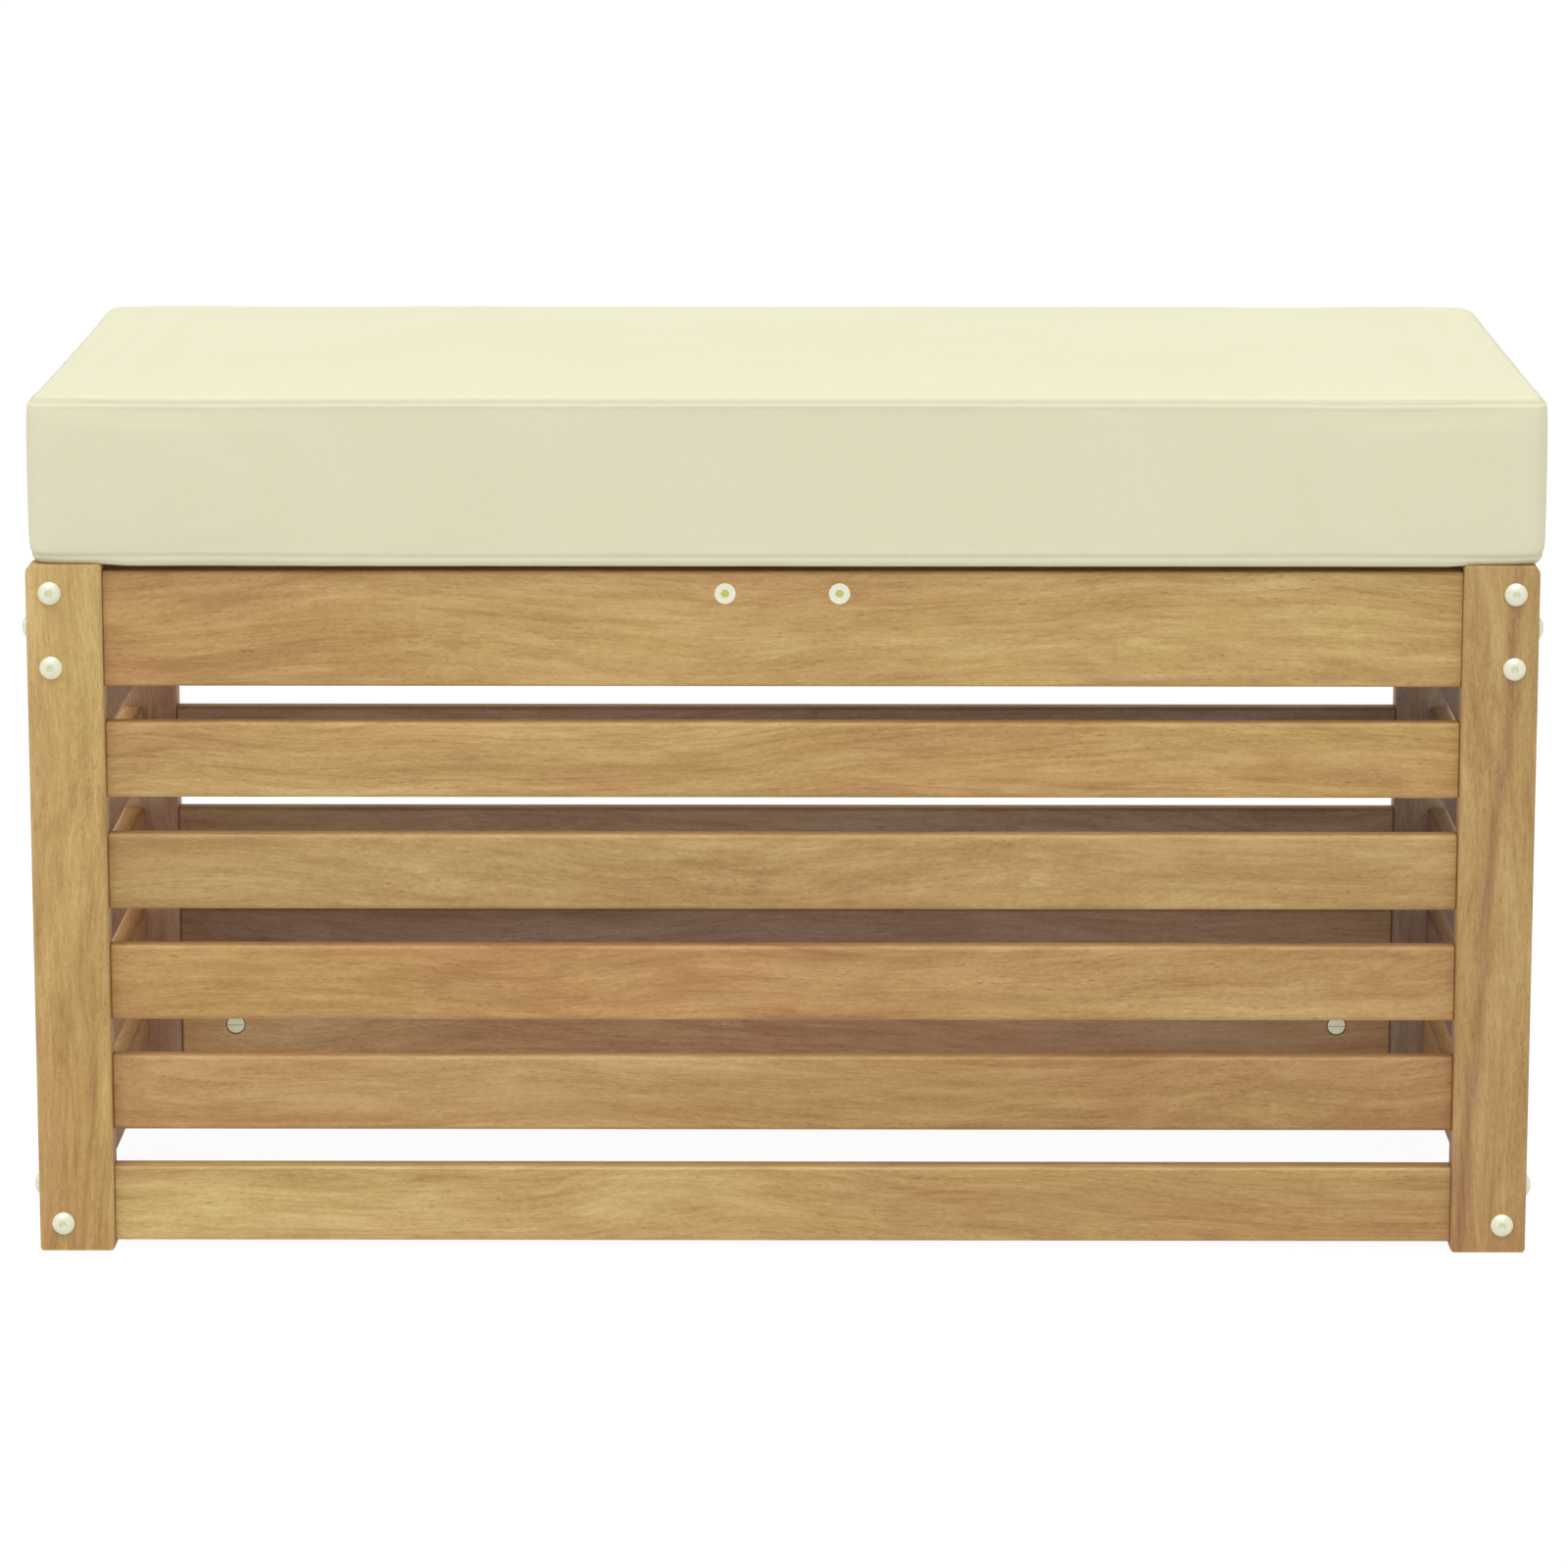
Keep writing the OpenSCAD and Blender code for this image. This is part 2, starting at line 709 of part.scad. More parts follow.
// Domed bolts through the side faces of the legs.
module bolts_sides() {
    color(steel)
        for (side = [-1, 1])
            for (end = [-1, 1])
                for (z = [top_bolt_z, bottom_bolt_z + bottom_bolt_spread])
                    translate([side * half_length, end * (half_depth - bolt_inset), z])
                        into_x(side)
                            domed_bolt(leg_bolt_length_x);
}

// Barrel nuts in the ends of all eight rails.
module barrel_nuts() {
    recess = nut_bore - nut_length;
    color(nut_steel)
        for (side = [-1, 1])
            for (end = [-1, 1]) {
                for (z = [top_bolt_z, bottom_bolt_z + bottom_bolt_spread])
                    translate([end * (leg_inner_x - nut_inset), side * (leg_inner_y + recess), z])
                        rotate([-side * 90, 0, 0])
                            barrel_nut(nut_diameter, nut_length, rail_thickness / 2 - recess);
                for (z = face_bolt_heights)
                    translate([side * (side_face + recess), end * (leg_inner_y - nut_inset), z])
                        rotate([0, side * 90, 0])
                            rotate([0, 0, 90])
                                barrel_nut(nut_diameter, nut_length, rail_thickness / 2 - recess);
            }
}

// Flat headed bolts that hold the centre rail.
module centre_rail_bolts() {
    color(steel)
        for (side = [-1, 1])
            for (end = [-1, 1])
                translate([
                    end * centre_bolt_spacing / 2,
                    side * (leg_inner_y + rail_thickness),
                    cross_bolt_z
                ])
                    into_y(side)
                        flat_bolt(cross_bolt_length);
}

// Barrel nuts in the underside of the centre rail.
module centre_rail_nuts() {
    recess = small_nut_bore - small_nut_length;
    color(nut_steel)
        for (side = [-1, 1])
            for (end = [-1, 1])
                translate([
                    end * centre_bolt_spacing / 2,
                    side * (leg_inner_y - small_nut_inset),
                    cross_rail_z + recess
                ])
                    rotate([0, 0, 90])
                        barrel_nut(small_nut_diameter, small_nut_length, cross_rail_thickness / 2 - recess);
}

// Dowels that keep the rails from turning on the legs.
module dowels() {
    color(wood)
        for (side = [-1, 1])
            for (end = [-1, 1]) {
                for (z = dowel_heights)
                    translate([end * leg_inner_x, side * (half_depth - bolt_inset), z])
                        rotate([0, 90, 0])
                            cylinder(h = dowel_length, d = dowel_diameter, center = true);
                translate([side * (half_length - bolt_inset), end * leg_inner_y, bottom_bolt_z])
                    rotate([90, 0, 0])
                        cylinder(h = dowel_length, d = dowel_diameter, center = true);
            }
}

// Screws that hold the cleats to the side top rails.
module cleat_screws() {
    color(nut_steel)
        for (side = [-1, 1])
            for (y = cleat_screw_offsets)
                translate([side * (side_face - cleat_width), y, lid_rest_z - cleat_height / 2])
                    rotate([0, side * 90, 0])
                        wood_screw(cleat_screw_length);
}

// Screws that hold the lid slats to the battens.
module lid_screws() {
    color(nut_steel)
        for (i = [1 : lid_slat_count])
            for (x = batten_offsets)
                translate([x, lid_slat_y(i), lid_rest_z - batten_thickness])
                    wood_screw(lid_screw_length);
}

leg_front_left();
leg_front_right();
leg_rear_left();
leg_rear_right();
top_rail_front();
top_rail_rear();
top_rail_left();
top_rail_right();
bottom_rail_front();
bottom_rail_rear();
bottom_rail_left();
bottom_rail_right();
slat_front_1();
slat_front_2();
slat_front_3();
slat_front_4();
slat_rear_1();
slat_rear_2();
slat_rear_3();
slat_rear_4();
slat_left_1();
slat_left_2();
slat_left_3();
slat_left_4();
slat_right_1();
slat_right_2();
slat_right_3();
slat_right_4();
centre_cross_rail();
lid_cleat_left();
lid_cleat_right();
lid_slat_1();
lid_slat_2();
lid_slat_3();
lid_slat_4();
lid_slat_5();
lid_slat_6();
lid_slat_7();
lid_batten_1();
lid_batten_2();
lid_batten_3();
lid_batten_4();
seat_cushion();
cushion_zip();
cushion_zip_pull();
bolts_front_rear();
bolts_sides();
barrel_nuts();
centre_rail_bolts();
centre_rail_nuts();
dowels();
cleat_screws();
lid_screws();
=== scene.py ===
import json
import math

import bmesh
import bpy
import numpy as np
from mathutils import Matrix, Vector, noise
from mathutils.bvhtree import BVHTree
from mathutils.kdtree import KDTree


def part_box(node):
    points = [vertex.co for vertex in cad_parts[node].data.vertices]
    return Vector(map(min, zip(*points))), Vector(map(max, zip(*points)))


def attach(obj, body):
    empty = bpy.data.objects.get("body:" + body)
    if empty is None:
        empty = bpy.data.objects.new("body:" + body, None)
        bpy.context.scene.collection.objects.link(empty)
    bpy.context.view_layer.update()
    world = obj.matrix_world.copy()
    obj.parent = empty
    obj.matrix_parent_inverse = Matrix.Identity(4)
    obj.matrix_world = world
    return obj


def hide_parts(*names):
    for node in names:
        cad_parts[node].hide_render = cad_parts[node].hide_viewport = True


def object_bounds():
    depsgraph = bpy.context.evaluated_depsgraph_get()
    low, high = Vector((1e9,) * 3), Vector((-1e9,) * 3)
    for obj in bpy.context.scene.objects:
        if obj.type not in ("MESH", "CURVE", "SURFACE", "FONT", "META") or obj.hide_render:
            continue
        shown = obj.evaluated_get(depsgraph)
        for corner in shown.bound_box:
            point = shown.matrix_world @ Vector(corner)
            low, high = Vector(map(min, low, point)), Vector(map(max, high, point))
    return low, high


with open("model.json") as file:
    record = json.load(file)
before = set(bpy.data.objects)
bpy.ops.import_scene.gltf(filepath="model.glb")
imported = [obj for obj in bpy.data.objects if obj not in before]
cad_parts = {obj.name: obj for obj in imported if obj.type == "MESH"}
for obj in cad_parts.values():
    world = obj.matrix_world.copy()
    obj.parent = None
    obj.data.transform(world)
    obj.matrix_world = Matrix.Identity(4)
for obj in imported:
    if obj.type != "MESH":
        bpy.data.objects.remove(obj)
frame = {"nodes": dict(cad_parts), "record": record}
cad_low, cad_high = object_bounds()
MM = 0.001
WHITE = (1.0, 1.0, 1.0)
BLACK = (0.0, 0.0, 0.0)

# ---------------------------------------------------------------- camera
LENS = 145.9
SENSOR = 36.0
CAMERA_PLACE = (0.0235, -4.387, 1.146)
CAMERA_YAW, CAMERA_PITCH = 0.0054, 0.1968


def make_camera():
    data = bpy.data.cameras.new("camera")
    data.lens = LENS
    data.sensor_width = SENSOR
    data.clip_end = 200.0
    cam = bpy.data.objects.new("camera", data)
    bpy.context.scene.collection.objects.link(cam)
    cam.location = CAMERA_PLACE
    level = math.cos(CAMERA_PITCH)
    look = Vector((-math.sin(CAMERA_YAW) * level, math.cos(CAMERA_YAW) * level, -math.sin(CAMERA_PITCH)))
    cam.rotation_euler = look.to_track_quat("-Z", "Y").to_euler()
    bpy.context.scene.camera = cam


# ---------------------------------------------------------------- node helpers
def make(tree, kind, links=None, values=None, **props):
    """Adds a node, sets its properties and input values, and links sockets into its inputs."""
    n = tree.nodes.new(kind)
    for key, value in props.items():
        setattr(n, key, value)
    for key, value in (values or {}).items():
        n.inputs[key].default_value = value
    for key, source in (links or {}).items():
        tree.links.new(source, n.inputs[key])
    return n


def math_node(tree, op, a, b=None, c=None, clamp=False):
    n = tree.nodes.new("ShaderNodeMath")
    n.operation = op
    n.use_clamp = clamp
    for i, v in enumerate((a, b, c)):
        if v is None:
            continue
        if isinstance(v, (int, float)):
            n.inputs[i].default_value = v
        else:
            tree.links.new(v, n.inputs[i])
    return n.outputs[0]


def vector_node(tree, op, a, b):
    """Vector maths on two inputs, each a socket or a fixed vector."""
    inputs = {0: a, 1: b}
    fixed = {key: v for key, v in inputs.items() if isinstance(v, (tuple, Vector))}
    linked = {key: v for key, v in inputs.items() if key not in fixed}
    return make(tree, "ShaderNodeVectorMath", linked, fixed, operation=op).outputs[0]


def parts_of(tree, vector):
    """The X, Y and Z of a vector socket."""
    return make(tree, "ShaderNodeSeparateXYZ", {0: vector}).outputs


def ramp(tree, fac, stops, mode="LINEAR"):
    n = tree.nodes.new("ShaderNodeValToRGB")
    n.color_ramp.interpolation = mode
    while len(n.color_ramp.elements) < len(stops):
        n.color_ramp.elements.new(0.5)
    for e, (pos, colour) in zip(n.color_ramp.elements, stops):
        e.position = pos
        e.color = (*colour, 1.0)
    tree.links.new(fac, n.inputs[0])
    return n.outputs[0]


def mask(tree, fac, start, end, least=0.0):
    """The least value up to the start, rising to 1 at the end."""
    return ramp(tree, fac, [(start, (least, least, least)), (end, WHITE)])


def falloff(tree, distance, reach):
    """1 at no distance, easing to 0 at the reach."""
    return ramp(tree, math_node(tree, "DIVIDE", distance, reach), [(0.0, WHITE), (1.0, BLACK)], "EASE")


def mix_colour(tree, fac, a, b, blend="MIX"):
    n = tree.nodes.new("ShaderNodeMix")
    n.data_type = "RGBA"
    n.blend_type = blend
    for index, v in ((0, fac), (6, a), (7, b)):
        if isinstance(v, (int, float)):
            n.inputs[index].default_value = v
        elif isinstance(v, tuple):
            n.inputs[index].default_value = (*v, 1.0)
        else:
            tree.links.new(v, n.inputs[index])
    return n.outputs[2]


def stain(tree, colour, where, strength, tint):
    """Multiplies the colour by the tint, as far as the mask and the strength say."""
    return mix_colour(tree, math_node(tree, "MULTIPLY", where, strength), colour, tint, "MULTIPLY")


def stretched_noise(tree, vector, scale, detail=3.0, rough=0.55, distortion=0.0):
    m = make(tree, "ShaderNodeMapping", {"Vector": vector}, {"Scale": scale})
    n = make(tree, "ShaderNodeTexNoise", {"Vector": m.outputs[0]},
             {"Scale": 1.0, "Detail": detail, "Roughness": rough, "Distortion": distortion})
    return n.outputs[0]


def base_material(name):
    mat = bpy.data.materials.new(name)
    mat.use_nodes = True
    tree = mat.node_tree
    tree.nodes.clear()
    out = tree.nodes.new("ShaderNodeOutputMaterial")
    shader = tree.nodes.new("ShaderNodeBsdfPrincipled")
    tree.links.new(shader.outputs[0], out.inputs[0])
    return mat, tree, shader


def object_coords(tree):
    return tree.nodes.new("ShaderNodeTexCoord").outputs["Object"]


def add_bump(tree, shader, height, strength, distance):
    b = make(tree, "ShaderNodeBump", {"Height": height}, {"Strength": strength, "Distance": distance})
    tree.links.new(b.outputs[0], shader.inputs["Normal"])


# ---------------------------------------------------------------- wood
# The wood's colours from its darkest to its lightest figure, where it is yellow and where it is red.
YELLOW_WOOD = [(0.18, (0.495, 0.295, 0.097)), (0.50, (0.645, 0.430, 0.152)), (0.84, (0.795, 0.590, 0.250))]
RED_WOOD = [(0.18, (0.450, 0.232, 0.092)), (0.50, (0.590, 0.332, 0.127)), (0.84, (0.722, 0.440, 0.186))]
# Multipliers on the wood colour.
FLECK_TINT = (1.13, 1.17, 1.22)
RING_TINT = (0.80, 0.70, 0.64)
MINERAL_TINT = (0.60, 0.46, 0.38)
PORE_TINT = (0.52, 0.38, 0.28)
END_TINT = (0.66, 0.58, 0.52)
JOINT_SHADE = (0.38, 0.28, 0.23)
BAND_TINT = (0.80, 0.72, 0.76)
NUT_RIM_SHADE = (0.30, 0.24, 0.20)
RUBBED = (0.80, 0.60, 0.30)
EDGE_REACH, JOINT_SHADE_REACH, BAND_WANDER = 2.4 * MM, 1.3 * MM, 12 * MM
WOOD_EDGE, BOLT_EDGE, NUT_EDGE = 0.9 * MM, 0.3 * MM, 0.8 * MM


def wood_pattern():
    """The oiled hardwood's figure, with the grain along the incoming X."""
    tree = bpy.data.node_groups.new("oiled_hardwood", "ShaderNodeTree")
    tree.interface.new_socket("Vector", in_out="INPUT", socket_type="NodeSocketVector")
    for name in ("Edge", "End", "Joint shade"):
        tree.interface.new_socket(name, in_out="INPUT", socket_type="NodeSocketFloat")
    for name, kind in (("Colour", "Color"), ("Roughness", "Float"), ("Height", "Float")):
        tree.interface.new_socket(name, in_out="OUTPUT", socket_type="NodeSocket" + kind)
    src, edge, end, joint = tree.nodes.new("NodeGroupInput").outputs[:4]
    sink = tree.nodes.new("NodeGroupOutput")
    # Bend the grain gently before anything is drawn along it.
    bend_map = make(tree, "ShaderNodeMapping", {"Vector": src}, {"Scale": (2.3, 5.0, 5.0)})
    bend = make(tree, "ShaderNodeTexNoise", {"Vector": bend_map.outputs[0]}, {"Scale": 1.0, "Detail": 2.0})
    shift = vector_node(tree, "SUBTRACT", bend.outputs[1], (0.5, 0.5, 0.5))
    shift = vector_node(tree, "MULTIPLY", shift, (0.0, 0.075, 0.075))
    warped = vector_node(tree, "ADD", src, shift)
    broad = stretched_noise(tree, warped, (1.7, 26.0, 26.0), 2.0, 0.5, 0.25)
    streak = stretched_noise(tree, warped, (7.0, 135.0, 135.0), 6.0, 0.66)
    fibre = stretched_noise(tree, warped, (30.0, 760.0, 760.0), 4.0, 0.65)
    speck = stretched_noise(tree, warped, (210.0, 640.0, 640.0), 3.0, 0.70)
    mottle = stretched_noise(tree, warped, (14.0, 80.0, 80.0), 6.0, 0.70)
    hue = stretched_noise(tree, src, (2.2, 9.0, 9.0), 3.0, 0.6)
    tone = math_node(tree, "MULTIPLY_ADD", broad, 0.70, -0.350)
    for pattern, weight in ((streak, 0.85), (mottle, 0.85), (fibre, 0.55), (speck, 0.60)):
        tone = math_node(tree, "MULTIPLY_ADD", pattern, weight, tone)
    tone = math_node(tree, "ADD", tone, -0.925)
    yellow, red = ramp(tree, tone, YELLOW_WOOD), ramp(tree, tone, RED_WOOD)
    colour = mix_colour(tree, mask(tree, hue, 0.34, 0.66), yellow, red)
    # Light flecks where the ray cells lie open.
    fleck = mask(tree, stretched_noise(tree, warped, (55.0, 320.0, 320.0), 4.0, 0.7), 0.56, 0.68)
    colour = stain(tree, colour, fleck, 0.55, FLECK_TINT)
    # Thin darker growth lines follow the contours of the broad figure.
    rings = math_node(tree, "MULTIPLY_ADD", broad, 85.0, math_node(tree, "MULTIPLY", streak, 3.0))
    rings = math_node(tree, "MULTIPLY_ADD", math_node(tree, "SINE", rings), 0.5, 0.5)
    rings = math_node(tree, "MULTIPLY", mask(tree, rings, 0.55, 0.99), mask(tree, hue, 0.42, 0.60, 0.15))
    colour = stain(tree, colour, rings, 0.45, RING_TINT)
    # Occasional dark mineral streaks.
    mineral = mask(tree, stretched_noise(tree, warped, (3.0, 48.0, 48.0), 4.0, 0.65), 0.66, 0.80)
    colour = stain(tree, colour, mineral, 0.42, MINERAL_TINT)
    # Open pores, short dark ticks along the grain.
    pores = mask(tree, stretched_noise(tree, warped, (150.0, 1050.0, 1050.0), 1.0, 0.5), 0.64, 0.73)
    cluster = mask(tree, stretched_noise(tree, warped, (7.0, 40.0, 40.0), 2.0, 0.5), 0.38, 0.64, 0.25)
    pore = math_node(tree, "MULTIPLY", pores, cluster)
    colour = stain(tree, colour, pore, 0.50, PORE_TINT)
    # Rubbed edges are lighter, end grain drinks more oil, and painted shade lines the joints.
    worn = math_node(tree, "MULTIPLY", edge, mask(tree, mottle, 0.35, 0.62, 0.15))
    colour = mix_colour(tree, math_node(tree, "MULTIPLY", worn, 0.30), colour, RUBBED)
    colour = stain(tree, colour, end, 0.55, END_TINT)
    colour = mix_colour(tree, joint, colour, JOINT_SHADE, "MULTIPLY")
    rough = math_node(tree, "MULTIPLY_ADD", streak, 0.22, 0.40)
    rough = math_node(tree, "MULTIPLY_ADD", pore, 0.15, rough, clamp=True)
    height = math_node(tree, "MULTIPLY_ADD", fibre, 0.55, math_node(tree, "MULTIPLY", streak, 0.45))
    height = math_node(tree, "MULTIPLY_ADD", pore, -0.8, height)
    for socket, value in zip(sink.inputs, (colour, rough, height)):
        tree.links.new(value, socket)
    return tree


GRAIN_TURN = {"x": (0.0, 0.0, 0.0), "y": (0.0, 0.0, -math.pi / 2), "z": (0.0, math.pi / 2, 0.0)}


NUT_INSET, NUT_RADIUS = 39.6 * MM, 6.5 * MM
NUT_RIM_CLEARANCE, NUT_RIM_REACH, NUT_RIM_DEPTH = 0.2 * MM, 1.3 * MM, 3.0 * MM
# How far above its middle each kind of rail has its barrel nuts.
NUT_HEIGHTS = {
    "top_rail_x": (0.0,), "bottom_rail_x": (12 * MM,),
    "top_rail_y": (-25 * MM, 25 * MM), "bottom_rail_y": (-12 * MM,),
}


def nut_rim_shade(tree, split, joint, heights, inner):
    """Painted shade round the mouths of the barrel nuts' holes, on a rail's inner face."""
    axis, shoulder = joint
    along = math_node(tree, "SUBTRACT", math_node(tree, "ABSOLUTE", split[axis]), shoulder - NUT_INSET)
    up = None
    for height in heights:
        gap = math_node(tree, "ABSOLUTE", math_node(tree, "SUBTRACT", split[2], height))
        up = gap if up is None else math_node(tree, "MINIMUM", up, gap)
    square = math_node(tree, "MULTIPLY_ADD", along, along, math_node(tree, "MULTIPLY", up, up))
    off = math_node(tree, "SUBTRACT", math_node(tree, "SQRT", square), NUT_RADIUS + NUT_RIM_CLEARANCE)
    ring = falloff(tree, math_node(tree, "ABSOLUTE", off), NUT_RIM_REACH)
    depth = math_node(tree, "SUBTRACT", math_node(tree, "ABSOLUTE", split[1 - axis]), inner)
    return math_node(tree, "MULTIPLY", ring, falloff(tree, depth, NUT_RIM_DEPTH))


def along_board(tree, part, ends):
    """Eases from the first colour at one end of a board to the second at the other."""
    return ramp(tree, part, [(0.08, ends[0]), (0.92, ends[1])], "EASE")


def wood_material(name, group, grain, seed, low, high, tints, joint, band, nuts, inside):
    """One board's wood.

    tints are the multipliers at its two ends. The rest may each be None: joint is the axis of its
    two shoulders and their distance from the middle, where a painted shadow line runs, band is a
    darker band's (x, z) at two heights and its half width, nuts are its barrel nuts' heights above
    its middle, ringed with painted shade, and inside is a direction, with further multipliers at the
    two ends of the faces turned that way, which paint shade on them.
    """
    mat, tree, shader = base_material(name)
    coords = tree.nodes.new("ShaderNodeTexCoord")
    here = coords.outputs["Object"]
    place = (3.1 * seed + 0.7, 1.7 * seed + 0.31, 2.3 * seed + 0.57)
    turned = make(tree, "ShaderNodeMapping", {"Vector": here},
                  {"Rotation": GRAIN_TURN[grain], "Location": place})
    # The distance to the board's nearest edge is the second least of the distances to its faces.
    above = vector_node(tree, "SUBTRACT", here, low)
    below = vector_node(tree, "SUBTRACT", high, here)
    x, y, z = parts_of(tree, vector_node(tree, "MINIMUM", above, below))
    second = math_node(tree, "MAXIMUM", math_node(tree, "MINIMUM", x, y),
                       math_node(tree, "MINIMUM", math_node(tree, "MAXIMUM", x, y), z))
    along = "xyz".index(grain)
    facing = math_node(tree, "ABSOLUTE", parts_of(tree, coords.outputs["Normal"])[along])
    g = tree.nodes.new("ShaderNodeGroup")
    g.node_tree = group
    tree.links.new(turned.outputs[0], g.inputs[0])
    tree.links.new(falloff(tree, second, EDGE_REACH), g.inputs[1])
    tree.links.new(mask(tree, facing, 0.6, 0.9), g.inputs[2])
    split = parts_of(tree, here)
    # A painted shadow line where the board meets the legs.
    if joint:
        axis, at = joint
        short = math_node(tree, "SUBTRACT", at, math_node(tree, "ABSOLUTE", split[axis]))
        tree.links.new(falloff(tree, short, JOINT_SHADE_REACH), g.inputs[3])
    part = math_node(tree, "SUBTRACT", split[along], low[along])
    part = math_node(tree, "DIVIDE", part, high[along] - low[along])
    colour = mix_colour(tree, 1.0, g.outputs[0], along_board(tree, part, tints), "MULTIPLY")
    # Painted shade on the faces turned inside the box.
    if inside:
        way, *ends = inside
        dot = make(tree, "ShaderNodeVectorMath", {0: coords.outputs["Normal"]}, {1: way},
                   operation="DOT_PRODUCT")
        shaded_faces = mask(tree, dot.outputs["Value"], 0.3, 0.7)
        colour = mix_colour(tree, shaded_faces, colour, along_board(tree, part, ends), "MULTIPLY")
    if band:
        (x0, z0), (x1, z1), half = band
        slope = (x0 - x1) / (z0 - z1)
        wander = stretched_noise(tree, here, (30.0, 30.0, 9.0), 3.0, 0.6)
        drift = math_node(tree, "MULTIPLY_ADD", split[2], slope, x1 - z1 * slope)
        drift = math_node(tree, "SUBTRACT", drift, BAND_WANDER / 2)
        drift = math_node(tree, "MULTIPLY_ADD", wander, BAND_WANDER, drift)
        away = math_node(tree, "ABSOLUTE", math_node(tree, "SUBTRACT", split[0], drift))
        colour = mix_colour(tree, falloff(tree, away, half), colour, BAND_TINT, "MULTIPLY")
    # Painted shade ringing the barrel nuts' holes.
    if nuts:
        inner = min(abs(low[1 - joint[0]]), abs(high[1 - joint[0]]))
        heights = [(low[2] + high[2]) / 2 + h for h in nuts]
        rim_shade = nut_rim_shade(tree, split, joint, heights, inner)
        colour = mix_colour(tree, rim_shade, colour, NUT_RIM_SHADE, "MULTIPLY")
    tree.links.new(colour, shader.inputs["Base Color"])
    tree.links.new(g.outputs[1], shader.inputs["Roughness"])
    shader.inputs["IOR"].default_value = 1.42
    add_bump(tree, shader, g.outputs[2], 0.35, 0.5 * MM)
    return mat


# Brightness and warmth of some boards: multipliers at the left (or foot) and at the right (or top).
# The rear boards' multipliers also paint the light and shade inside the box where they stand.
TONE_AND_SHADE_TINTS = {
    "leg_front_left": ((0.97, 1.01, 0.93), (1.04, 1.07, 1.08)),
    "leg_front_right": ((0.84, 0.82, 0.83), (0.91, 0.94, 0.95)),
    "top_rail_front": ((0.90, 0.84, 0.81), (0.98, 1.00, 0.99)),
    "slat_front_4": ((0.99, 1.01, 1.02), (0.97, 0.97, 0.93)),
    "slat_front_3": ((0.87, 0.86, 0.91), (0.88, 0.87, 0.91)),
    "slat_front_2": ((0.98, 0.92, 0.90), (0.91, 0.87, 0.91)),
    "slat_front_1": ((0.86, 0.80, 0.82), (0.78, 0.68, 0.72)),
    "bottom_rail_front": ((1.04, 1.13, 1.16), (0.88, 0.87, 0.87)),
    "slat_rear_1": ((0.84, 0.83, 0.92), (0.84, 0.83, 0.92)),
    "slat_rear_2": ((0.90, 0.99, 1.09), (0.90, 0.99, 1.09)),
    "slat_rear_3": ((0.94, 0.95, 1.06), (0.94, 0.95, 1.06)),
    "leg_rear_left": ((1.00, 1.00, 1.08), (0.99, 0.99, 1.18)),
    "leg_rear_right": ((0.93, 0.93, 1.03), (0.86, 0.92, 1.14)),
    "bottom_rail_rear": ((1.14, 1.15, 1.15), (1.14, 1.15, 1.15)),
}
# Painted shade on the faces inside the box: the way they face, then further multipliers at the same
# two ends as above. The right end's slats get painted shade on their tops as well.
PAINTED_INSIDE_SHADE = {
    "slat_rear_1": ((0, -1, 0), (0.78, 0.78, 0.98), (0.95, 1.00, 1.16)),
    "slat_rear_2": ((0, -1, 0), (1.08, 1.16, 1.44), (0.89, 0.94, 1.30)),
    "slat_rear_3": ((0, -1, 0), (0.84, 0.88, 1.22), (0.68, 0.78, 1.26)),
    "slat_rear_4": ((0, -1, 0), (0.84, 0.88, 1.22), (0.68, 0.78, 1.26)),
    "bottom_rail_rear": ((0, -1, 0), (1.22, 1.25, 1.24), (0.84, 0.78, 0.83)),
    "leg_rear_left": ((0, -1, 0), (0.97, 1.03, 1.42), (1.02, 1.17, 1.56)),
    "leg_rear_right": ((0, -1, 0), (0.84, 1.03, 1.50), (0.73, 0.90, 1.34)),
    "slat_right": ((-0.8, 0, 0.8), (0.58, 0.63, 0.94), (0.58, 0.63, 0.94)),
    "top_rail_right": ((-1, 0, 0), (0.66, 0.72, 1.02), (0.66, 0.72, 1.02)),
}
BANDS = {"leg_front_right": ((0.486, 0.460), (0.471, 0.240), 8 * MM)}
# Where the slats and rails meet the legs, from the middle of the box.
SHOULDER_X, SHOULDER_Y = 0.450, 0.225


def joint_of(node):
    if node.startswith(("slat", "top_rail", "bottom_rail")):
        return (1, SHOULDER_Y) if grain_of(node) == "y" else (0, SHOULDER_X)
    return None


def grain_of(node):
    if node.startswith("leg"):
        return "z"
    if node.endswith(("left", "right")):
        return "y"
    if node.startswith(("slat_left", "slat_right", "lid_batten")) or node == "centre_cross_rail":
        return "y"
    return "x"


def own_tints(seed):
    """A board's own small drift in brightness and warmth, the same each run."""
    tints = []
    for bright, warm in ((1.3, 7.3), (4.7, 9.1)):
        a = noise.noise(Vector((seed * 3.7, bright, 0.4)))
        b = noise.noise(Vector((seed * 2.9, warm, 2.4)))
        tints.append((0.96 + 0.11 * a, 0.93 + 0.14 * a + 0.05 * b, 0.96 + 0.14 * a + 0.06 * b))
    return tints


def round_edges(obj, width, segments=3):
    """Merges the tessellation's split corners and rounds the hard edges."""
    weld = obj.modifiers.new("weld", "WELD")
    weld.merge_threshold = 1e-5
    bevel = obj.modifiers.new("bevel", "BEVEL")
    bevel.width = width
    bevel.segments = segments
    bevel.limit_method = "ANGLE"
    bevel.angle_limit = math.radians(35)
    bevel.harden_normals = False


def dress(node, material):
    obj = frame["nodes"][node]
    obj.data.materials.clear()
    obj.data.materials.append(material)
    return obj


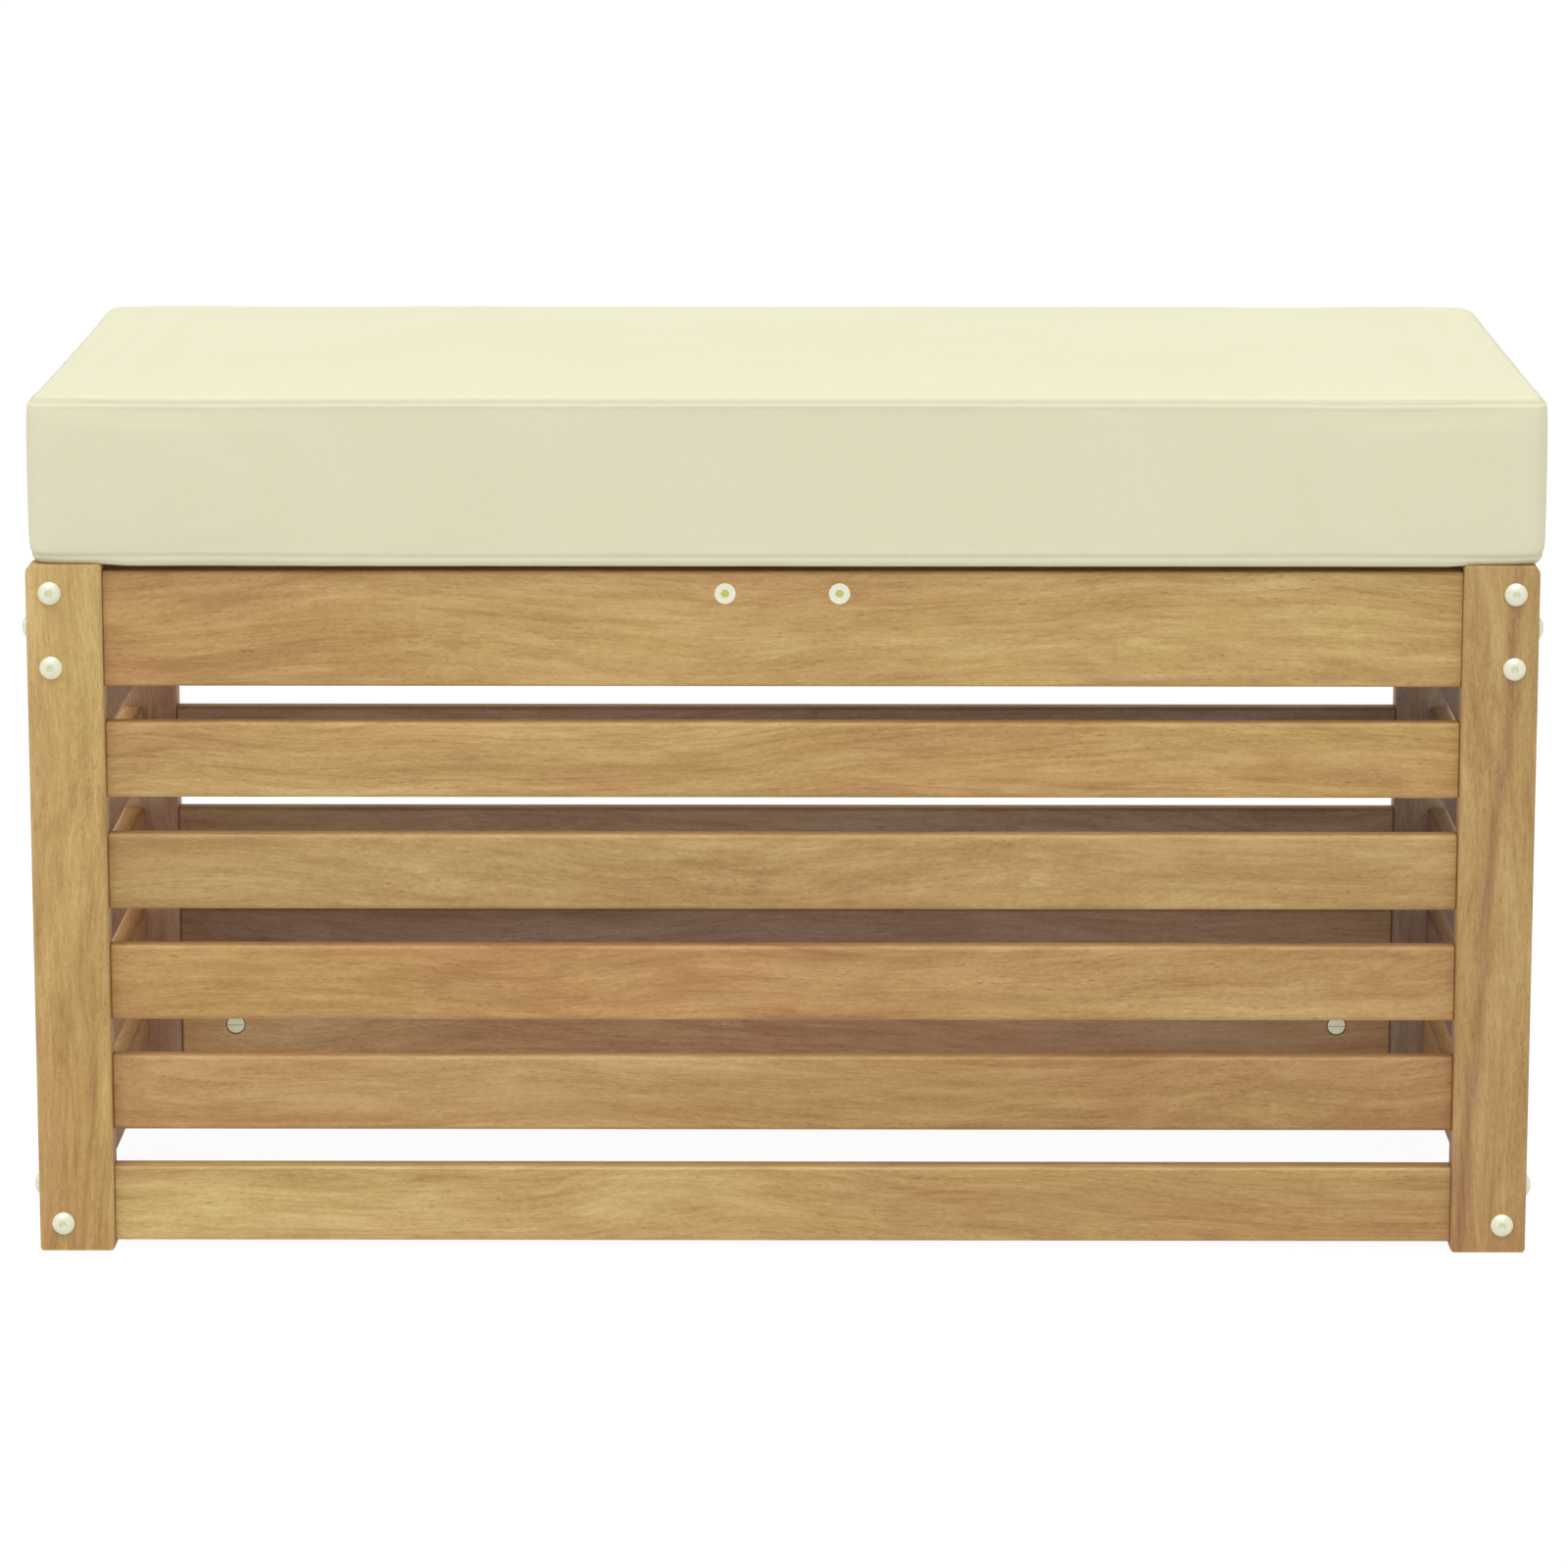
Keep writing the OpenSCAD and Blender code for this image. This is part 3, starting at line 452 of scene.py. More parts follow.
def dress_wood(group):
    slots = {s["node"]: s["material_slot"] for s in frame["record"]["subparts"]}
    woods = [n for n in sorted(frame["nodes"]) if slots[n] in ("oiled_wood", "lid_wood", "dowel_wood")]
    for seed, node in enumerate(woods):
        tints = TONE_AND_SHADE_TINTS[node] if node in TONE_AND_SHADE_TINTS else own_tints(seed)
        grain = grain_of(node)
        low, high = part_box(node)
        nuts = NUT_HEIGHTS.get(node[:node.find("rail") + 4] + "_" + grain)
        inside = PAINTED_INSIDE_SHADE.get(node) or PAINTED_INSIDE_SHADE.get(node[:-2])
        wood = wood_material("wood_" + node, group, grain, seed, low, high, tints,
                             joint_of(node), BANDS.get(node), nuts, inside)
        obj = dress(node, wood)
        if slots[node] != "dowel_wood":
            round_edges(obj, WOOD_EDGE)


# ---------------------------------------------------------------- metal
ZINC, ZINC_DARK = (1.0, 1.0, 0.79), (0.93, 0.95, 0.72)
PLATED, PLATED_DARK = (1.0, 1.0, 0.79), (0.95, 0.97, 0.75)
SHINY, SHINY_DARK = (1.0, 0.98, 0.55), (0.95, 0.93, 0.49)
CHROMATE = (0.88, 0.86, 0.27)


def metal_material(name, colour, dark, rough, metallic=0.25):
    mat, tree, shader = base_material(name)
    here = object_coords(tree)
    cloud = stretched_noise(tree, here, (160.0, 160.0, 160.0), 3.0, 0.6)
    grain = stretched_noise(tree, here, (2400.0, 2400.0, 2400.0), 2.0, 0.5)
    fac = math_node(tree, "MULTIPLY_ADD", grain, 0.35, math_node(tree, "MULTIPLY", cloud, 0.65))
    tree.links.new(ramp(tree, fac, [(0.30, dark), (0.62, colour)]), shader.inputs["Base Color"])
    tree.links.new(math_node(tree, "MULTIPLY_ADD", cloud, 0.16, rough), shader.inputs["Roughness"])
    shader.inputs["Metallic"].default_value = metallic
    add_bump(tree, shader, fac, 0.15, 0.1 * MM)
    return mat


def tint_sockets(mat, box):
    """Yellow chromate inside the two sockets on each face, whose axes run along Y."""
    tree = mat.node_tree
    low, high = box
    head = (high.z - low.z) / 2
    x, _, z = parts_of(tree, object_coords(tree))
    across = math_node(tree, "SUBTRACT", math_node(tree, "ABSOLUTE", x), high.x - head)
    up = math_node(tree, "SUBTRACT", z, low.z + head)
    square = math_node(tree, "MULTIPLY_ADD", across, across, math_node(tree, "MULTIPLY", up, up))
    radius = math_node(tree, "DIVIDE", math_node(tree, "SQRT", square), 4 * MM)
    inside = ramp(tree, radius, [(0.58, WHITE), (0.76, BLACK)])
    shader = tree.nodes["Principled BSDF"]
    plain = shader.inputs["Base Color"].links[0].from_socket
    tree.links.new(mix_colour(tree, inside, plain, CHROMATE), shader.inputs["Base Color"])


def dress_metal():
    bright = metal_material("pale_zinc", ZINC, ZINC_DARK, 0.24)
    shiny = metal_material("shiny_zinc", SHINY, SHINY_DARK, 0.04, 1.0)
    plated = metal_material("pale_zinc_plated_socket", PLATED, PLATED_DARK, 0.24)
    tint_sockets(plated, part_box("centre_rail_bolts"))
    for node in ("bolts_front_rear", "bolts_sides", "centre_rail_bolts"):
        obj = dress(node, plated if node == "centre_rail_bolts" else bright)
        round_edges(obj, BOLT_EDGE, 2)
    for node in ("barrel_nuts", "centre_rail_nuts", "cleat_screws", "lid_screws"):
        obj = dress(node, shiny)
        if node.endswith("nuts"):
            round_edges(obj, NUT_EDGE, 2)


# ---------------------------------------------------------------- cushion
CLOTH, CLOTH_DARK = (0.883, 0.858, 0.619), (0.833, 0.806, 0.570)
YARN_PITCH = 0.9 * MM
TOP_ROUND, FOOT_ROUND, PLAN_ROUND = 6.0 * MM, 6.5 * MM, 15 * MM
# How much smaller than its CAD solid the cushion is before it swells: sides, foot and top.
SLACK_SIDES, SLACK_FOOT, SLACK_TOP = 2.5 * MM, 1.5 * MM, 4.5 * MM
CELL = 9.5 * MM
TOP_SEAM = 2.4 * MM  # how far up the top edge's round the seam lies
# The seams' heights once the cover has settled: below the CAD solid's top, and above its foot.
TOP_SEAM_DROP, FOOT_SEAM_RISE = 3.0 * MM, 4.9 * MM
SWELL_CAP, QUICK_SWELL = 3.6 * MM, 3 * MM
VOXEL, CLOTH_FRAMES, RELAX_ROUNDS = 6 * MM, 20, 60
SPREAD = 37 * MM  # how far around a point the cloth's movement counts
CUSHION_SHIFT = 3.0 * MM  # to the right of the middle
RIM_HANG = 1.3 * MM
CROWN, END_CURL, END_TUCK = 0.8 * MM, 2.5 * MM, 2.5 * MM
CROWN_FLATTENING = 0.28
# Half the clear length and depth between the legs.
CLEAR_X, CLEAR_Y = 0.449, 0.224
# A seam's stitched dip and the folds beside it, in millimetres: height, place up the cover, width.
TOP_FOLDS = ((-0.4, 0.0, 0.9), (0.32, -2.0, 1.3))
FOOT_FOLDS = ((-0.8, 0.0, 1.2), (0.05, 2.6, 1.6), (0.18, -2.6, 1.6))
# How much shade is painted into the creases, in the same terms; the last foot entry paints shade
# on the roll under the cushion's foot.
TOP_PAINTED_SHADE = ((0.15, 2.2, 2.6), (0.02, -1.5, 1.5))
FOOT_PAINTED_SHADE = ((0.06, 0.0, 1.2), (0.05, -2.5, 2.2), (0.40, -7.0, 2.4))


def fabric_material(name, colour, dark, creased=False):
    """Plain-woven cloth: crossing yarns, soft slubs, and, when creased, painted shade in the creases along
    the seams and under the foot.
    """
    mat, tree, shader = base_material(name)
    here = object_coords(tree)
    wave = 2 * math.pi / YARN_PITCH
    x, y, z = (math_node(tree, "SINE", math_node(tree, "MULTIPLY", p, wave)) for p in parts_of(tree, here))
    weave = math_node(tree, "ADD", math_node(tree, "ADD", x, y), z)
    weave = math_node(tree, "MULTIPLY_ADD", weave, 1 / 6, 0.5)
    slub = stretched_noise(tree, here, (220.0, 60.0, 220.0), 3.0, 0.6)
    cloud = stretched_noise(tree, here, (9.0, 9.0, 9.0), 3.0, 0.5)
    fac = math_node(tree, "MULTIPLY_ADD", slub, 0.45, math_node(tree, "MULTIPLY", weave, 0.25))
    fac = math_node(tree, "MULTIPLY_ADD", cloud, 0.35, fac)
    tone = ramp(tree, fac, [(0.25, dark), (0.72, colour)])
    height = math_node(tree, "MULTIPLY_ADD", slub, 0.35, math_node(tree, "MULTIPLY", weave, 0.65))
    if creased:
        # Painted shade in the creases and under the foot, mixed towards black.
        painted_crease_shade = make(tree, "ShaderNodeAttribute", attribute_name="painted_crease_shade")
        tone = mix_colour(tree, painted_crease_shade.outputs["Fac"], tone, BLACK)
    tree.links.new(tone, shader.inputs["Base Color"])
    tree.links.new(math_node(tree, "MULTIPLY_ADD", slub, 0.12, 0.78), shader.inputs["Roughness"])
    shader.inputs["Sheen Weight"].default_value = 0.12
    shader.inputs["Sheen Roughness"].default_value = 0.45
    shader.inputs["Specular IOR Level"].default_value = 0.25
    add_bump(tree, shader, height, 0.30, 0.35 * MM)
    return mat


def levels(start, end, step):
    count = max(2, round((end - start) / step) + 1)
    return list(np.linspace(start, end, count))


def coords_of(mesh):
    co = np.empty(len(mesh.vertices) * 3)
    mesh.vertices.foreach_get("co", co)
    return co.reshape(-1, 3)


def normals_of(mesh):
    return np.array([v.normal[:] for v in mesh.vertices])


def move_to(mesh, co):
    mesh.vertices.foreach_set("co", co.ravel())
    mesh.update()


def new_object(name, mesh, material=None):
    obj = bpy.data.objects.new(name, mesh)
    bpy.context.scene.collection.objects.link(obj)
    if material:
        mesh.materials.append(material)
    return obj


def cushion_shell(low, high):
    """A rounded box of aligned quads, with close rows along the two seams.

    Returns the object, and each vertex's distance up its wall from the top and the bottom seam.
    """
    half = [(high[i] - low[i]) / 2 for i in range(3)]
    mid = [(high[i] + low[i]) / 2 for i in range(3)]
    join_top, join_foot = high[2] - TOP_ROUND, low[2] + FOOT_ROUND
    rise = [0.0, 0.5, 1.0, 1.7, 2.6, 3.8, 5.2, 7.0, 9.0, 11.5]
    quarter = math.pi / 2
    arc_top = list(np.linspace(0, TOP_ROUND * quarter, 16))
    inset = [TOP_ROUND * (1 - math.cos(m / TOP_ROUND)) for m in arc_top]

    def axis_levels(h):
        edge = [h - w for w in inset]
        flat = h - inset[-1] - 3 * MM
        return sorted([-e for e in edge]) + levels(-flat, flat, CELL) + sorted(edge)

    xs, ys = axis_levels(half[0]), axis_levels(half[1])
    wall = [join_top - m * MM for m in rise] + levels(join_foot + 13 * MM, join_top - 13 * MM, CELL)[::-1]
    wall = sorted(set(round(z, 7) for z in wall + [join_foot + m * MM for m in rise]))
    verts, seam = [], []
    index = {}

    def place(x, y):
        ax, ay = half[0] - PLAN_ROUND, half[1] - PLAN_ROUND
        cx, cy = max(-ax, min(ax, x)), max(-ay, min(ay, y))
        dx, dy = x - cx, y - cy
        if dx and dy:
            k = max(abs(dx), abs(dy)) / math.hypot(dx, dy)
            dx, dy = dx * k, dy * k
        return cx + dx + mid[0], cy + dy + mid[1]

    def add(key, x, y, z, m_top, m_foot):
        px, py = place(x, y)
        index[key] = len(verts)
        verts.append((px, py, z))
        seam.append((m_top, m_foot))

    for i, x in enumerate(xs):
        for j, y in enumerate(ys):
            w = max(0.0, min(half[0] - abs(x), half[1] - abs(y)))
            edge = w < TOP_ROUND - 1e-9
            a = math.acos(max(-1.0, 1 - w / TOP_ROUND)) if edge else quarter
            m = TOP_ROUND * a if edge else TOP_ROUND * quarter + (w - TOP_ROUND)
            add(("t", i, j), x, y, join_top + TOP_ROUND * math.sin(a), m - TOP_SEAM, 1.0)
            add(("b", i, j), x, y, join_foot - FOOT_ROUND * math.sin(a), 1.0, -m)
    nx, ny = len(xs), len(ys)
    ring = [(i, 0) for i in range(nx - 1)] + [(nx - 1, j) for j in range(ny - 1)]
    ring += [(i, ny - 1) for i in range(nx - 1, 0, -1)] + [(0, j) for j in range(ny - 1, 0, -1)]
    inner = [z for z in wall if join_foot + 1e-6 < z < join_top - 1e-6]
    for k, z in enumerate(inner):
        for i, j in ring:
            add(("w", k, i, j), xs[i], ys[j], z, z - join_top - TOP_SEAM, z - join_foot)

    def at(row, i, j):
        if row < 0:
            return index[("b", i, j)]
        if row >= len(inner):
            return index[("t", i, j)]
        return index[("w", row, i, j)]

    faces = []
    for i in range(nx - 1):
        for j in range(ny - 1):
            quad = ((i, j), (i + 1, j), (i + 1, j + 1), (i, j + 1))
            faces.append([index[("t", a, b)] for a, b in quad])
            faces.append([index[("b", a, b)] for a, b in quad[::-1]])
    for row in range(-1, len(inner)):
        for n, (i, j) in enumerate(ring):
            p, q = ring[(n + 1) % len(ring)]
            faces.append([at(row, i, j), at(row, p, q), at(row + 1, p, q), at(row + 1, i, j)])
    mesh = bpy.data.meshes.new("cushion_cover")
    mesh.from_pydata(verts, [], faces)
    mesh.update()
    return new_object("cushion_cover", mesh), np.array(seam)


def inflate(shell):
    """Swells a remeshed copy of the shell with cloth pressure, and moves the shell's points as it moved."""
    body = new_object("cushion_cloth", shell.data.copy())
    remesh = body.modifiers.new("remesh", "REMESH")
    remesh.mode = "VOXEL"
    remesh.voxel_size = VOXEL
    graph = bpy.context.evaluated_depsgraph_get()
    body.data = bpy.data.meshes.new_from_object(body.evaluated_get(graph))
    body.modifiers.clear()
    rest = coords_of(body.data)
    cloth = body.modifiers.new("cloth", "CLOTH")
    s = cloth.settings
    s.quality = 6
    s.mass = 0.35
    s.tension_stiffness = s.compression_stiffness = 30
    s.shear_stiffness = 12
    s.bending_stiffness = 6.0
    s.use_pressure = True
    s.uniform_pressure_force = 4.0
    s.effector_weights.gravity = 0.0
    cloth.collision_settings.use_collision = False
    cloth.point_cache.frame_start, cloth.point_cache.frame_end = 1, CLOTH_FRAMES
    scene = bpy.context.scene
    for f in range(1, CLOTH_FRAMES + 1):
        scene.frame_set(f)
    graph = bpy.context.evaluated_depsgraph_get()
    moved = coords_of(body.evaluated_get(graph).data) - rest
    scene.frame_set(1)
    length = np.linalg.norm(moved, axis=1, keepdims=True)
    moved *= np.minimum(1.0, SWELL_CAP / np.maximum(length, 1e-9))
    tree = KDTree(len(rest))
    for i, p in enumerate(rest):
        tree.insert(p, i)
    tree.balance()
    own = coords_of(shell.data)
    normals, soft_normals = normals_of(shell.data), normals_of(body.data)
    out = own.copy()
    for i, p in enumerate(own):
        near = tree.find_range(p, SPREAD - 1 * MM)
        k = [n for _, n, _ in near]
        weight = np.array([(1 - d / SPREAD) ** 2 for _, _, d in near])
        weight *= np.clip(soft_normals[k] @ normals[i], 0.02, 1)
        out[i] += (moved[k] * weight[:, None]).sum(0) / weight.sum()
    bpy.data.objects.remove(body)
    return out


def relax(mesh, moves, rounds):
    """Averages every vertex's movement with its neighbours', over and over."""
    pairs = np.array([e.vertices[:] for e in mesh.edges])
    count = np.bincount(pairs.ravel(), minlength=len(moves))[:, None]
    for _ in range(rounds):
        total = np.zeros_like(moves)
        np.add.at(total, pairs[:, 0], moves[pairs[:, 1]])
        np.add.at(total, pairs[:, 1], moves[pairs[:, 0]])
        moves = (moves + total / count) / 2
    return moves


def bell(distance, width):
    return np.exp(-(distance / width) ** 2)


def settle(co, rest, seam, low, high):
    """Brings the swollen cover to the foam's length and depth, and its seams to their own heights."""
    mid, half_x, half_y = (low + high) / 2, (high.x - low.x) / 2, (high.y - low.y) / 2
    off_x, off_y = np.abs(rest[:, 0] - mid.x), np.abs(rest[:, 1] - mid.y)
    half_way = np.abs(rest[:, 2] - mid.z) < 15 * MM
    on_end = half_way & (off_x > half_x - SLACK_SIDES - 0.1 * MM) & (off_y > 0.7 * half_y)
    on_side = half_way & (off_y > half_y - SLACK_SIDES - 0.1 * MM) & (off_x < 0.7 * half_x)
    co[:, 0] = mid.x + (co[:, 0] - mid.x) * half_x / np.abs(co[on_end, 0] - mid.x).mean()
    co[:, 1] = mid.y + (co[:, 1] - mid.y) * half_y / np.abs(co[on_side, 1] - mid.y).mean()
    seam_top, seam_foot = (co[(off_x < 0.7 * half_x) & (np.abs(m) < 0.4 * MM), 2].mean() for m in seam.T)
    top_at, foot_at = high.z - TOP_SEAM_DROP, low.z + FOOT_SEAM_RISE
    co[:, 2] = foot_at + (co[:, 2] - seam_foot) * (top_at - foot_at) / (seam_top - seam_foot)
    co[:, 2] -= CROWN_FLATTENING * np.maximum(co[:, 2] - top_at, 0)


def shape_rim(co, low, high):
    """Shapes the crown, the rim that hangs between the legs, and the round ends.

    Returns how far each point hangs, and how far it lies towards the front or rear edge.
    """
    mid, half_x, half_y = (low + high) / 2, (high.x - low.x) / 2, (high.y - low.y) / 2
    lid_x, lid_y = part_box("lid_slat_1")[1].x, max(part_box("lid_slat_1")[1].y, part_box("lid_slat_7")[1].y)
    u = np.clip(np.abs(co[:, 0] - mid.x) / half_x, 0, 1)
    v = np.clip(np.abs(co[:, 1] - mid.y) / half_y, 0, 1)
    up = np.clip((co[:, 2] - low.z) / (high.z - low.z), 0, 1)
    down = np.clip(1 - 3 * (co[:, 2] - low.z) / (high.z - low.z), 0, 1)
    # The foam's corners stand a little lower than its middle.
    corner = np.hypot((1 - u) * half_x, (1 - v) * half_y)
    crown = up * (1 - u ** 4) * (1 - v ** 4) - up ** 3 * bell(corner, 13 * MM)
    co[:, 2] += CROWN * crown
    # Past the lid's edge and between the legs the rim hangs down, and over the legs it curls up.
    past = np.maximum(np.abs(co[:, 0]) - lid_x, np.abs(co[:, 1]) - lid_y)
    free = np.maximum(CLEAR_X - np.abs(co[:, 0]), CLEAR_Y - np.abs(co[:, 1]))
    free = np.clip(free / (7 * MM), 0, 1)
    free = free * free * (3 - 2 * free)
    hang = np.clip(past / (10 * MM), 0, 1) * free
    rim = np.clip(1 - (co[:, 2] - low.z) / (6 * MM), 0, 1)
    co[:, 2] -= rim * RIM_HANG * hang
    co[:, 2] += down * END_CURL * (1 - free) * np.clip((u - 0.95) / 0.05, 0, 1) ** 2
    # Both ends are rounder than the long sides, at the foot most of all.
    over_foot, under_top = co[:, 2] - low.z, high.z - co[:, 2]
    tuck = np.clip(1 - over_foot / (12 * MM), 0, 1) ** 2 + np.clip(1 - under_top / (13 * MM), 0, 1) ** 2
    tuck *= END_TUCK
    co[:, 0] -= np.sign(co[:, 0] - mid.x) * tuck * np.clip((u - 0.90) / 0.10, 0, 1) ** 2
    near_corner = np.clip((v - 0.80) / 0.20, 0, 1) ** 2 * bell(corner, 45 * MM)
    co[:, 1] -= np.sign(co[:, 1] - mid.y) * tuck * near_corner
    return hang, v


def sew(mesh, co, seam, v):
    """Presses in the two seams, puckers the cloth beside them, and stores the shade painted into the creases
    and under the foot.
    """
    normals = normals_of(mesh)
    top, foot = seam[:, 0] / MM, seam[:, 1] / MM
    groove, shade = np.zeros(len(co)), np.zeros(len(co))
    for m, folds, creases in ((top, TOP_FOLDS, TOP_PAINTED_SHADE), (foot, FOOT_FOLDS, FOOT_PAINTED_SHADE)):
        for total, bells in ((groove, folds), (shade, creases)):
            for height, centre, width in bells:
                total += height * bell(m - centre, width)
    mesh.attributes.new("painted_crease_shade", "FLOAT", "POINT").data.foreach_set("value", shade)
    pucker = np.zeros(len(co))
    for i, p in enumerate(co):
        q = Vector(p)
        near = math.exp(-(top[i] / 9) ** 2) + math.exp(-(foot[i] / 9) ** 2)
        if near > 0.02:
            fine = noise.noise(q * 140.0 + Vector((3, 1, 2)))
            pucker[i] = 0.5 * near * noise.noise(q * 62.0) + 0.25 * near * fine
        pucker[i] += 0.35 * noise.noise(q * 9.0 + Vector((5.1, 0.2, 1.7))) * (0.4 + 0.6 * v[i] ** 6)
    co += normals * ((groove + pucker) * MM)[:, None]


def make_cushion():
    low, high = (Vector(corner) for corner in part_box("seat_cushion"))
    start_low = low + Vector((SLACK_SIDES, SLACK_SIDES, SLACK_FOOT))
    start_high = high - Vector((SLACK_SIDES, SLACK_SIDES, SLACK_TOP))
    shell, seam = cushion_shell(start_low, start_high)
    mesh = shell.data
    rest = coords_of(mesh)
    co = rest + relax(mesh, inflate(shell) - rest, RELAX_ROUNDS)
    settle(co, rest, seam, low, high)
    hang, v = shape_rim(co, low, high)
    move_to(mesh, co)
    sew(mesh, co, seam, v)
    co[:, 2] = np.maximum(co[:, 2], low.z - 0.2 * MM - RIM_HANG * hang)
    co[:, 0] += CUSHION_SHIFT
    move_to(mesh, co)
    for poly in mesh.polygons:
        poly.use_smooth = True
    soft = shell.modifiers.new("subdivide", "SUBSURF")
    soft.levels = soft.render_levels = 1
    mesh.materials.append(fabric_material("cream_cloth", CLOTH, CLOTH_DARK, creased=True))
    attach(shell, "cushion")
    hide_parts("seat_cushion")
    return shell


# ---------------------------------------------------------------- zip
TAPE, TAPE_DARK = (0.80, 0.77, 0.56), (0.70, 0.67, 0.48)
TEETH, TEETH_DARK = (0.84, 0.81, 0.64), (0.74, 0.71, 0.55)
SLIDER, SLIDER_DARK = (0.86, 0.84, 0.68), (0.76, 0.74, 0.58)
# The tape's section in millimetres: heights from its middle, and how far it stands off the cover.
TAPE_ROWS = (-8.0, -6.5, -4.5, -3.0, -1.4, 0.0, 1.4, 3.0, 4.5, 6.5, 8.0)
TAPE_PROUD = (-0.6, 0.45, 0.8, 0.75, 0.35, 0.3, 0.35, 0.75, 0.8, 0.45, -0.6)
TAPE_STEP, TOOTH_PITCH, TOOTH_OFFSET = 8 * MM, 1.7 * MM, 0.45 * MM
TOOTH_SIZE = (1.0 * MM, 0.9 * MM, 2.1 * MM)
# The slider's blocks in millimetres: place along and off the cover, size, and edge rounding.
SLIDER_BLOCKS = (
    (0.0, 1.5, (11.0, 1.6, 7.6), 0.7),
    (-3.2, 2.9, (1.6, 2.0, 3.0), 0.5),
    (3.2, 2.9, (1.6, 2.0, 3.0), 0.5),
    (0.0, 3.7, (8.0, 0.9, 3.0), 0.4),
)
TAB_BACK, TAB_FRONT, TAB_POINTS = 2.4, 3.3, 20
# The pull tab's outline and hole: half width, half height and how far below the slider.
TAB_OUTLINE, TAB_HOLE = (2.6, 10.5, 11.5), (1.2, 2.4, 4.5)


def object_from(name, bm, material, smooth=True):
    mesh = bpy.data.meshes.new(name)
    bm.to_mesh(mesh)
    bm.free()
    for poly in mesh.polygons:
        poly.use_smooth = smooth
    return new_object(name, mesh, material)


def block(bm, centre, size, bevel=0.0):
    """A box with rounded edges, added to a bmesh."""
    made = bmesh.ops.create_cube(bm, size=1.0)["verts"]
    for v in made:
        v.co = Vector(centre) + Vector((v.co.x * size[0], v.co.y * size[1], v.co.z * size[2]))
    if bevel:
        edges = {e for v in made for e in v.link_edges}
        bmesh.ops.bevel(bm, geom=list(edges), offset=bevel, segments=2, affect="EDGES", profile=0.6)


def oval(bm, x, y, z, outline):
    """A ring of points round an upright oval that faces along Y."""
    width, height, drop = (v * MM for v in outline)
    turns = [2 * math.pi * k / TAB_POINTS for k in range(TAB_POINTS)]
    return [bm.verts.new((x + width * math.cos(a), y, z - drop + height * math.sin(a))) for a in turns]


def make_zip(shell):
    graph = bpy.context.evaluated_depsgraph_get()
    tree = BVHTree.FromObject(shell, graph)
    low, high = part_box("cushion_zip")
    level = (low.z + high.z) / 2

    def rear(x, z):
        hit = tree.ray_cast(Vector((x, high.y + 0.1, z)), Vector((0, -1, 0)))
        return hit[0].y if hit[0] else low.y

    bm = bmesh.new()
    grid = []
    for x in np.arange(low.x, high.x + 1e-6, TAPE_STEP):
        heights = [level + r * MM for r in TAPE_ROWS]
        grid.append([bm.verts.new((x, rear(x, z) + p * MM, z)) for z, p in zip(heights, TAPE_PROUD)])
    for a, b in zip(grid, grid[1:]):
        for k in range(len(TAPE_ROWS) - 1):
            bm.faces.new((a[k], a[k + 1], b[k + 1], b[k]))
    tape = object_from("zip_tape", bm, fabric_material("zip_tape", TAPE, TAPE_DARK))
    bm = bmesh.new()
    for n, x in enumerate(np.arange(low.x + 2 * MM, high.x - 2 * MM, TOOTH_PITCH)):
        side = 1 if n % 2 else -1
        block(bm, (x, rear(x, level) + 0.75 * MM, level + side * TOOTH_OFFSET), TOOTH_SIZE)
    tooth_mat = metal_material("zip_teeth", TEETH, TEETH_DARK, 0.30)
    teeth = object_from("zip_teeth", bm, tooth_mat, smooth=False)
    for obj in (tape, teeth):
        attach(obj, "cushion")
    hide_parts("cushion_zip")
    # The slider: a curved body with a bridge, and a tab hanging from it.
    low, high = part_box("cushion_zip_pull")
    x = (low.x + high.x) / 2
    y = rear(x, level)
    bm = bmesh.new()
    for aside, off, size, bevel in SLIDER_BLOCKS:
        block(bm, (x + aside * MM, y + off * MM, level), [s * MM for s in size], bevel * MM)
    outer_f = oval(bm, x, y + TAB_FRONT * MM, level, TAB_OUTLINE)
    outer_b = oval(bm, x, y + TAB_BACK * MM, level, TAB_OUTLINE)
    inner_f = oval(bm, x, y + TAB_FRONT * MM, level, TAB_HOLE)
    inner_b = oval(bm, x, y + TAB_BACK * MM, level, TAB_HOLE)
    for k in range(TAB_POINTS):
        n = (k + 1) % TAB_POINTS
        bm.faces.new((outer_f[k], outer_f[n], inner_f[n], inner_f[k]))
        bm.faces.new((outer_b[n], outer_b[k], inner_b[k], inner_b[n]))
        bm.faces.new((outer_b[k], outer_b[n], outer_f[n], outer_f[k]))
        bm.faces.new((inner_f[k], inner_f[n], inner_b[n], inner_b[k]))
    slider_mat = metal_material("zip_slider", SLIDER, SLIDER_DARK, 0.25)
    slider = object_from("zip_slider", bm, slider_mat, smooth=False)
    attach(slider, "cushion")
    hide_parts("cushion_zip_pull")


# ---------------------------------------------------------------- studio
FLOOR_HALF = 60.0
FLOOR_GREY = (0.46, 0.46, 0.46, 1.0)
POOL_UNDER, POOL_AROUND = (0.42, 0.45, 0.68), (0.30, 0.30, 0.306)
PAPER_GREY, PAPER_GLOW = (0.11, 0.11, 0.11, 1.0), 0.95
WORLD_LIGHT, WORLD_EXTRA_SEEN = 0.55, 0.50
KEY_ENERGY, KEY_ANGLE, KEY_FROM = 1.72, 50, (-0.10, -0.35, 1.0)


